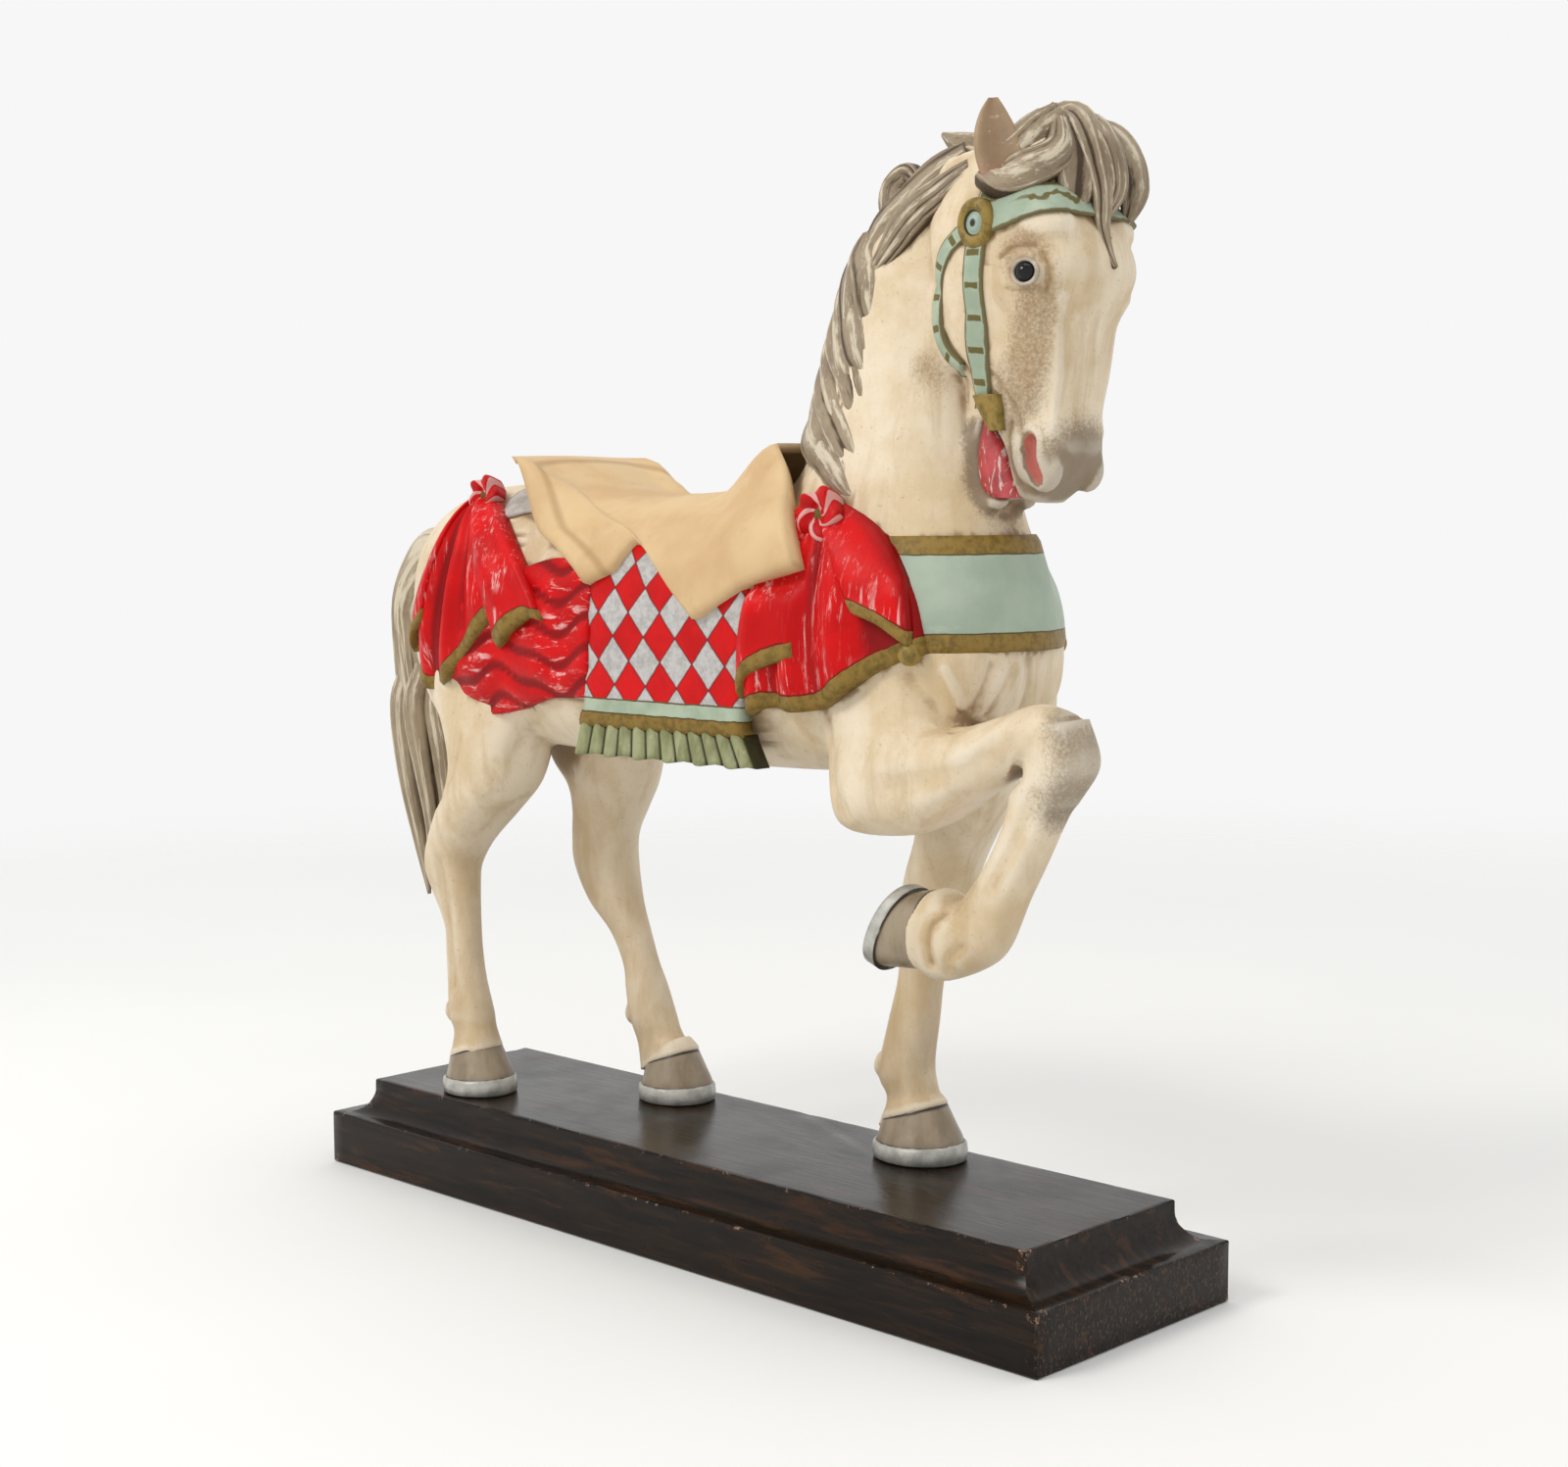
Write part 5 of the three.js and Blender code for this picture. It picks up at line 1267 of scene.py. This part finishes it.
def red_paint():
    p = Paint("red_cloth_paint", specular=0.14)
    fold = p.value("b")
    p.color = p.mottle((50, 5), "DC090C", "C4060A")
    # Painted shade in the fold valleys
    p.cover(p.ramp(fold, 0.15, 0.7, 0, 0.75), "6E0407")
    rippled = p.math("GREATER_THAN", p.value("c"), 1.5)
    down, across = p.noise(280, 7, 0.78, 0.4, (1.5, 1, 0.1)), p.noise(240, 6, 0.75, 0.6, (0.35, 1, 1.3))
    rub = p.mul(p.ramp(p.blend(rippled, down, across), 0.53, 0.63), p.ramp(p.noise(38, 3), 0.44, 0.58))
    p.cover(p.mul(p.mul(rub, p.ramp(fold, 0.6, 0.2)), 0.85), "F0BFBB")
    hem = p.wobble(p.value("a"), 200, 1.6)
    p.cover(p.ramp(hem, 6.9, 6.2), "7A0C0B")
    p.cover(p.ramp(hem, 6.0, 5.7), gold(p, 240, "94773A", "74602B"))
    bump = p.add(p.noise(150, 5, 0.6, 0.3, (1, 1, 0.4)), p.mul(p.noise(700, 3), 0.4))
    return p.finish(p.gloss(60, 0.36, 0.5), bump, 0.4)


DIAMOND_PLACE = (-23.9, 252.6)
DIAMOND_SIZE = (17.8, 19.0)


def panel_paint():
    p = Paint("panel_paint", specular=0.14)
    x, z = p.wobble(p.mm("X"), 130, 1.1), p.wobble(p.mm("Z"), 150, 1.1)
    u, v = (
        p.math("DIVIDE", p.math("SUBTRACT", place, middle), size)
        for place, middle, size in zip((x, z), DIAMOND_PLACE, DIAMOND_SIZE)
    )
    s, d = p.add(u, v), p.math("SUBTRACT", u, v)
    row = p.math("SUBTRACT", p.math("FLOOR", s), p.math("FLOOR", d))
    silver = p.math("LESS_THAN", p.math("PINGPONG", row, 1.0), 0.5)
    red = p.mottle((60, 5), "DA0A0D", "C4080C")
    p.color = p.blend(silver, red, p.mottle((320, 6, 0.8), "C9C6C3", "AFABA7", 0.42, 0.62))
    for line in (s, d):
        p.cover(p.ramp(p.off(line, p.math("ROUND", line)), 0.04, 0.018, 0, 0.75), "6E0D10")
    p.cover(p.ramp(z, 218.8, 218.3), "5B4A2A")
    p.cover(p.ramp(z, 218.1, 217.8), p.mottle((100, 5), "B3C0A8", "A0AE97"))
    p.cover(p.ramp(z, 213.2, 212.9), "4B3A1E")
    p.cover(p.ramp(z, 212.7, 212.4), gold(p, 260, "8F7336", "6F5A28"))
    return p.finish(p.gloss(60, 0.36, 0.52), p.noise(420, 5))


def fringe_paint():
    p = Paint("fringe_paint")
    p.color = p.mottle((160, 5, 0.6, 0, (1, 1, 0.3)), "A3A67C", "7F8154")
    p.cover(p.ramp(p.noise(520, 4, 0.6, 0, (1, 1, 0.2)), 0.6, 0.72, 0, 0.7), "CFCFAE")
    # Painted shade in the slits between the tassels
    p.cover(p.ramp(p.value("a"), 0.45, 0.85), "36341B")
    return p.finish(0.5, p.noise(500), 0.35)


def collar_paint():
    p = Paint("collar_paint", specular=0.25)
    p.color = p.mottle((45, 5), "B2C0AC", "A3B3A0")
    p.cover(p.ramp(p.noise(150, 6, 0.7, 0.4, (0.3, 0.3, 1.5)), 0.6, 0.74, 0, 0.5), "C5CFBF")
    inside = p.off(p.wobble(p.mm("Z"), 110, 0.9), (COLLAR_LOW + COLLAR_TOP) / 2)
    p.cover(p.ramp(inside, 13.4, 13.8), "5A4A28")
    p.cover(p.ramp(inside, 14.0, 14.3), gold(p, 260, "96793A", "755F2B"))
    return p.finish(p.gloss(60, 0.4, 0.55), p.noise(350, 5))


def strap_paint():
    """Bars across the cheek straps, and a wavy line along the browband, which has value c."""
    p = Paint("strap_paint", specular=0.25)
    p.color = p.mottle((90, 5), "B4C1AA", "9FAF98")
    across = p.wobble(p.off(p.value("b")), 300, 0.25)
    p.cover(p.ramp(across, 0.74, 0.84), "7A704A")
    bar = p.wobble(p.math("PINGPONG", p.add(p.value("a"), 2.0), 5.5), 220, 1.4)
    bars = p.mul(p.ramp(bar, 1.3, 0.9), p.ramp(across, 0.72, 0.62))
    squiggle = p.ramp(p.off(p.wobble(p.value("b"), 75, 2.4)), 0.2, 0.1)
    squiggle = p.mul(squiggle, p.ramp(p.noise(55, 2), 0.48, 0.54))
    band = p.ramp(p.value("c"), 0.5, 1.5)
    marks = p.add(p.mul(bars, p.math("SUBTRACT", 1.0, band)), p.mul(squiggle, band))
    p.cover(p.math("MINIMUM", marks, 1.0), "6C6233")
    return p.finish(0.45, p.noise(350, 5))


def boss_paint():
    """Gold, with a mint button in the round ones, which have value b above 2."""
    p = Paint("boss_paint", specular=0.25)
    share = p.wobble(p.value("a"), 260, 0.06)
    round_one = p.math("GREATER_THAN", p.value("b"), 2.0)
    centre = p.blend(p.ramp(share, 0.2, 0.12), "A9BCAB", "34362B")
    centre = p.blend(p.ramp(share, 0.44, 0.47), centre, "3E3A22")
    p.color = gold(p, 260, "9E8442", "73602C")
    p.cover(p.mul(round_one, p.ramp(share, 0.54, 0.5)), centre)
    return p.finish(0.42, p.noise(420, 5), 0.35)


def knot_paint():
    p = Paint("knot_paint", specular=0.15)
    p.color = p.mottle((60, 5), "D8090D", "AE070A")
    p.cover(p.ramp(p.wobble(p.value("a"), 180, 0.35), 0.66, 0.82, 0, 0.85), "E5B3AC")
    p.cover(p.ramp(p.wobble(p.value("b"), 300, 0.1), 0.24, 0.16), "6B5B2C")
    return p.finish(0.42, p.noise(300, 5), 0.35)


def mouth_paint():
    p = Paint("mouth_paint", coat=0.3, specular=0.5)
    p.color = p.mottle((120, 5), "C9484A", "A42F33")
    # White streaks in the red: painted glints
    p.cover(p.ramp(p.noise(260, 5, 0.7, 0.8, (1.6, 1, 0.3)), 0.56, 0.64, 0, 0.9), "EBDCD2")
    return p.finish(0.3, p.noise(260), 0.4)


def plain_paint(name, one, two, rough):
    p = Paint(name)
    p.color = p.mottle((180, 5), one, two)
    return p.finish(rough, p.noise(420))


def bead_paint():
    p = Paint("black_bead", specular=0.35)
    p.color = p.mottle((300, 2), "050405", "080607", 0.4, 0.6)
    return p.finish(0.04)


def wood_paint():
    p = Paint("stained_wood", specular=0.2)
    grain = p.noise(26, 8, 0.62, 0.6, (1.2, 14, 14))
    p.color = p.blend(p.ramp(grain, 0.36, 0.66), "0D0804", "25170A")
    p.cover(p.ramp(p.noise(20, 6, 0.62, 0.4, (1, 7, 7)), 0.52, 0.68, 0, 0.55), "4E2E12")
    ends = p.ramp(p.off(p.mm("X")), PLINTH_LENGTH / 2 - 1.2, PLINTH_LENGTH / 2 - 0.7)
    p.cover(p.mul(ends, p.ramp(p.noise(900, 3, 0.6, 0.2, (1, 1, 0.6)), 0.54, 0.66, 0, 0.4)), "6F5E49")
    p.cover(p.mul(p.ramp(p.value("a"), 0.3, 0.9), p.ramp(p.noise(160, 6, 0.8), 0.58, 0.63)), "A98670")
    bump = p.add(grain, p.mul(p.noise(500, 4, 0.6, 0, (0.2, 1, 1)), 0.3))
    return p.finish(p.gloss(35, 0.15, 0.28, 4), bump, 0.2)


# Plinth
SOFT = 0.7  # how far its edges are broken
END_POINTS = 16
SIDE_POINTS = 56
COVE_STEPS = 14


def plinth_ring(inset, z):
    """Points round the board, each corner cut a little."""
    hx, hy = PLINTH_LENGTH / 2 - inset[0], PLINTH_WIDTH / 2 - inset[1]
    corners = []
    for n, (x, y) in enumerate([(hx, -hy), (hx, hy), (-hx, hy), (-hx, -hy)]):
        cut_x, cut_y = math.copysign(SOFT, x), math.copysign(SOFT, y)
        pair = [(x - cut_x, y), (x, y - cut_y)]
        first, last = pair[::-1] if n % 2 else pair
        corners.append([first, (x - cut_x * 0.3, y - cut_y * 0.3), last])
    points = []
    for n, corner in enumerate(corners):
        (ax, ay), (bx, by) = corner[2], corners[(n + 1) % 4][0]
        count = SIDE_POINTS if n % 2 else END_POINTS
        points += corner + [(mix(ax, bx, k / count), mix(ay, by, k / count)) for k in range(1, count)]
    return [(x, y, z) for x, y in points]


def plinth_shape():
    """The moulded board. Value a is the wear, which is most on its edges and corners."""
    def at(share, extra=0.0):
        return share * END_STEP + extra, share * SIDE_STEP + extra

    def edge(share, top):
        """A broken edge round the top of a block."""
        return [(at(share), top - SOFT, 0.6), (at(share, SOFT * 0.3), top - SOFT * 0.3, 1),
                (at(share, SOFT), top, 0.6)]

    cove = PLINTH_HEIGHT - BLOCK_HEIGHT - LIP_HEIGHT
    rows = [(at(0, SOFT), 0, 0.2), (at(0), SOFT, 0.3), (at(0), 3, 0), (at(0), BLOCK_HEIGHT - 2.4, 0)]
    rows += edge(0, BLOCK_HEIGHT)
    for i in range(COVE_STEPS + 1):
        turn = i / COVE_STEPS * math.pi / 2
        step = at(mix(LEDGE / SIDE_STEP, 1, math.sin(turn)))
        rows.append((step, BLOCK_HEIGHT + cove * (1 - math.cos(turn)), 0.2 if i in (0, COVE_STEPS) else 0))
    rows += edge(1, PLINTH_HEIGHT) + [(at(1, 2.4), PLINTH_HEIGHT, 0)]
    rings = np.array([plinth_ring(step, z) for step, z, _ in rows])
    n, count = rings.shape[:2]
    wear = np.repeat([w for _, _, w in rows], count).reshape(n, count).astype(float)
    start = 0
    for points in (END_POINTS, SIDE_POINTS, END_POINTS, SIDE_POINTS):
        wear[:-1, start:start + 3] = np.maximum(wear[:-1, start:start + 3], 0.9)
        start += 2 + points
    nick = np.random.default_rng(SEED).random((n, count)) ** 6 * wear
    inward = np.array([0, 0, PLINTH_HEIGHT / 2]) - rings
    inward /= np.linalg.norm(inward, axis=-1)[..., None]
    inward[..., 2] *= 2
    rings = rings + inward * (0.9 * nick)[..., None]
    rings[..., 2] = np.clip(rings[..., 2], 0, PLINTH_HEIGHT)
    caps = [tuple(range(count))[::-1], tuple((n - 1) * count + k for k in range(count))]
    s = Shape()
    s.add(rings, ring_faces(n, count) + caps, 0, a=wear)
    return s


def bead_shape(side):
    centre, out, right, up = eye_frame(side)
    turn = np.arange(40) / 40 * 2 * math.pi
    ring = np.outer(np.cos(turn), right) + np.outer(np.sin(turn) * 0.98, up)
    rings = []
    for tilt in np.linspace(0.04, math.pi - 0.04, 24):
        front = 1 if tilt < math.pi / 2 else 0.92
        rings.append(centre + EYE_RADIUS * (math.sin(tilt) * ring * 0.99 + math.cos(tilt) * out * front))
    s = Shape()
    loft(s, rings)
    return s


# Everything put together
paints = {
    "skin": skin_paint(), "hair": hair_paint(), "hoof": hoof_paint(), "shoe": shoe_paint(),
    "saddle": saddle_paint(), "red": red_paint(), "panel": panel_paint(), "fringe": fringe_paint(),
    "collar": collar_paint(), "strap": strap_paint(), "boss": boss_paint(), "mouth": mouth_paint(),
    "lid": plain_paint("lid_paint", "CFC3B2", "A89A88", 0.4),
    "silver": plain_paint("silver_cloth_paint", "CCC5BC", "ADA79F", 0.5),
    "knot": knot_paint(), "ear": ear_paint(),
}
wood, bead = wood_paint(), bead_paint()
horse = horse_shape().object("horse_carving", [paints[name] for name in PARTS])
plinth = plinth_shape().object("plinth_board", [wood])
plinth.data.set_sharp_from_angle(angle=math.radians(28))
pieces = [(horse, "horse", "painted_wood"), (plinth, "plinth", "stained_wood")]
for name, side in (("eye_right", -1), ("eye_left", 1)):
    pieces.append((bead_shape(side).object(name + "_bead", [bead]), name, "glass_bead"))
for piece, node, slot in pieces:
    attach(piece, "root")
    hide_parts(node)
    piece.data.calc_loop_triangles()
    print("triangles", piece.name, len(piece.data.loop_triangles))
for node, paint in (("horse", paints["skin"]), ("plinth", wood), ("eye_right", bead), ("eye_left", bead)):
    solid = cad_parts[node]
    solid.data.materials.clear()
    solid.data.materials.append(paint)


# Floor, light and camera
def floor():
    """A round floor that fades out far from the horse."""
    count, radii = 96, (0.35, 0.7, 1.1, 1.8, 3.0)
    turns = [k / count * 2 * math.pi for k in range(count)]
    points = [(0, 0, 0)] + [(r * math.cos(t), r * math.sin(t), 0) for r in radii for t in turns]
    faces = [(0, 1 + k, 1 + (k + 1) % count) for k in range(count)]
    faces += [(a + 1, d + 1, c + 1, b + 1) for a, b, c, d in ring_faces(len(radii), count)]
    mesh = bpy.data.meshes.new("floor")
    mesh.from_pydata(points, [], faces)
    obj = bpy.data.objects.new("floor", mesh)
    bpy.context.scene.collection.objects.link(obj)
    p = Paint("pale_floor", specular=0.2)
    far = p.node("ShaderNodeVectorMath", {0: p.place}, operation="LENGTH").outputs["Value"]
    p.color = p.mottle((3, 2), rgb("EBEBE9", 1), rgb("E9E9E7", 1), 0.3, 0.7)
    mesh.materials.append(p.finish(0.7))
    p.connect(p.ramp(far, 0.55, 1.6, 1, 0), p.shader.inputs["Alpha"])


def light(name, place, aim, size, power_w, color=(1, 1, 1)):
    data = bpy.data.lights.new(name, "AREA")
    data.size, data.energy, data.color = size, power_w, color
    obj = bpy.data.objects.new(name, data)
    turn = (Vector(aim) - Vector(place)).to_track_quat("-Z", "Y").to_matrix().to_4x4()
    obj.matrix_world = Matrix.Translation(place) @ turn
    bpy.context.scene.collection.objects.link(obj)


def studio():
    """A pale sky, a little darker above."""
    world = bpy.data.worlds.new("studio")
    world.use_nodes = True
    sky, links = world.node_tree.nodes, world.node_tree.links
    where, split = sky.new("ShaderNodeTexCoord"), sky.new("ShaderNodeSeparateXYZ")
    fall = sky.new("ShaderNodeMapRange")
    for n, value in enumerate((0.3, 0.85, 0.93, 0.74), 1):
        fall.inputs[n].default_value = value
    links.new(where.outputs["Generated"], split.inputs[0])
    links.new(split.outputs["Z"], fall.inputs[0])
    links.new(fall.outputs[0], sky["Background"].inputs["Color"])
    return world


floor()
scene = bpy.context.scene
scene.world = studio()
scene.view_settings.view_transform = "Standard"
light("key", (-0.35, -1.4, 1.5), (0, 0, 0.22), 0.6, 15, (1, 0.98, 0.95))
light("top", (0.2, 0.2, 2.0), (0, 0, 0.2), 1.4, 8)

# Camera, worked out from the corners of the plinth
PHOTO_WIDTH = 1600
FOCAL_LENGTH = 2454.8843  # in pixels of the photograph
SENSOR = 36
EYE_POINT = (0.69347, -0.67177, 0.29019)
RIGHT = (0.71213956, 0.70199127, -0.00809421)
UP = (-0.05812612, 0.07044857, 0.99582044)
BACK = (0.69962748, -0.70869264, 0.09097325)
camera = bpy.data.objects.new("camera", bpy.data.cameras.new("camera"))
camera.data.sensor_fit = "HORIZONTAL"
camera.data.sensor_width = SENSOR
camera.data.lens = FOCAL_LENGTH / PHOTO_WIDTH * SENSOR
camera.matrix_world = Matrix([[RIGHT[i], UP[i], BACK[i], EYE_POINT[i]] for i in range(3)] + [[0, 0, 0, 1]])
scene.collection.objects.link(camera)
scene.camera = camera
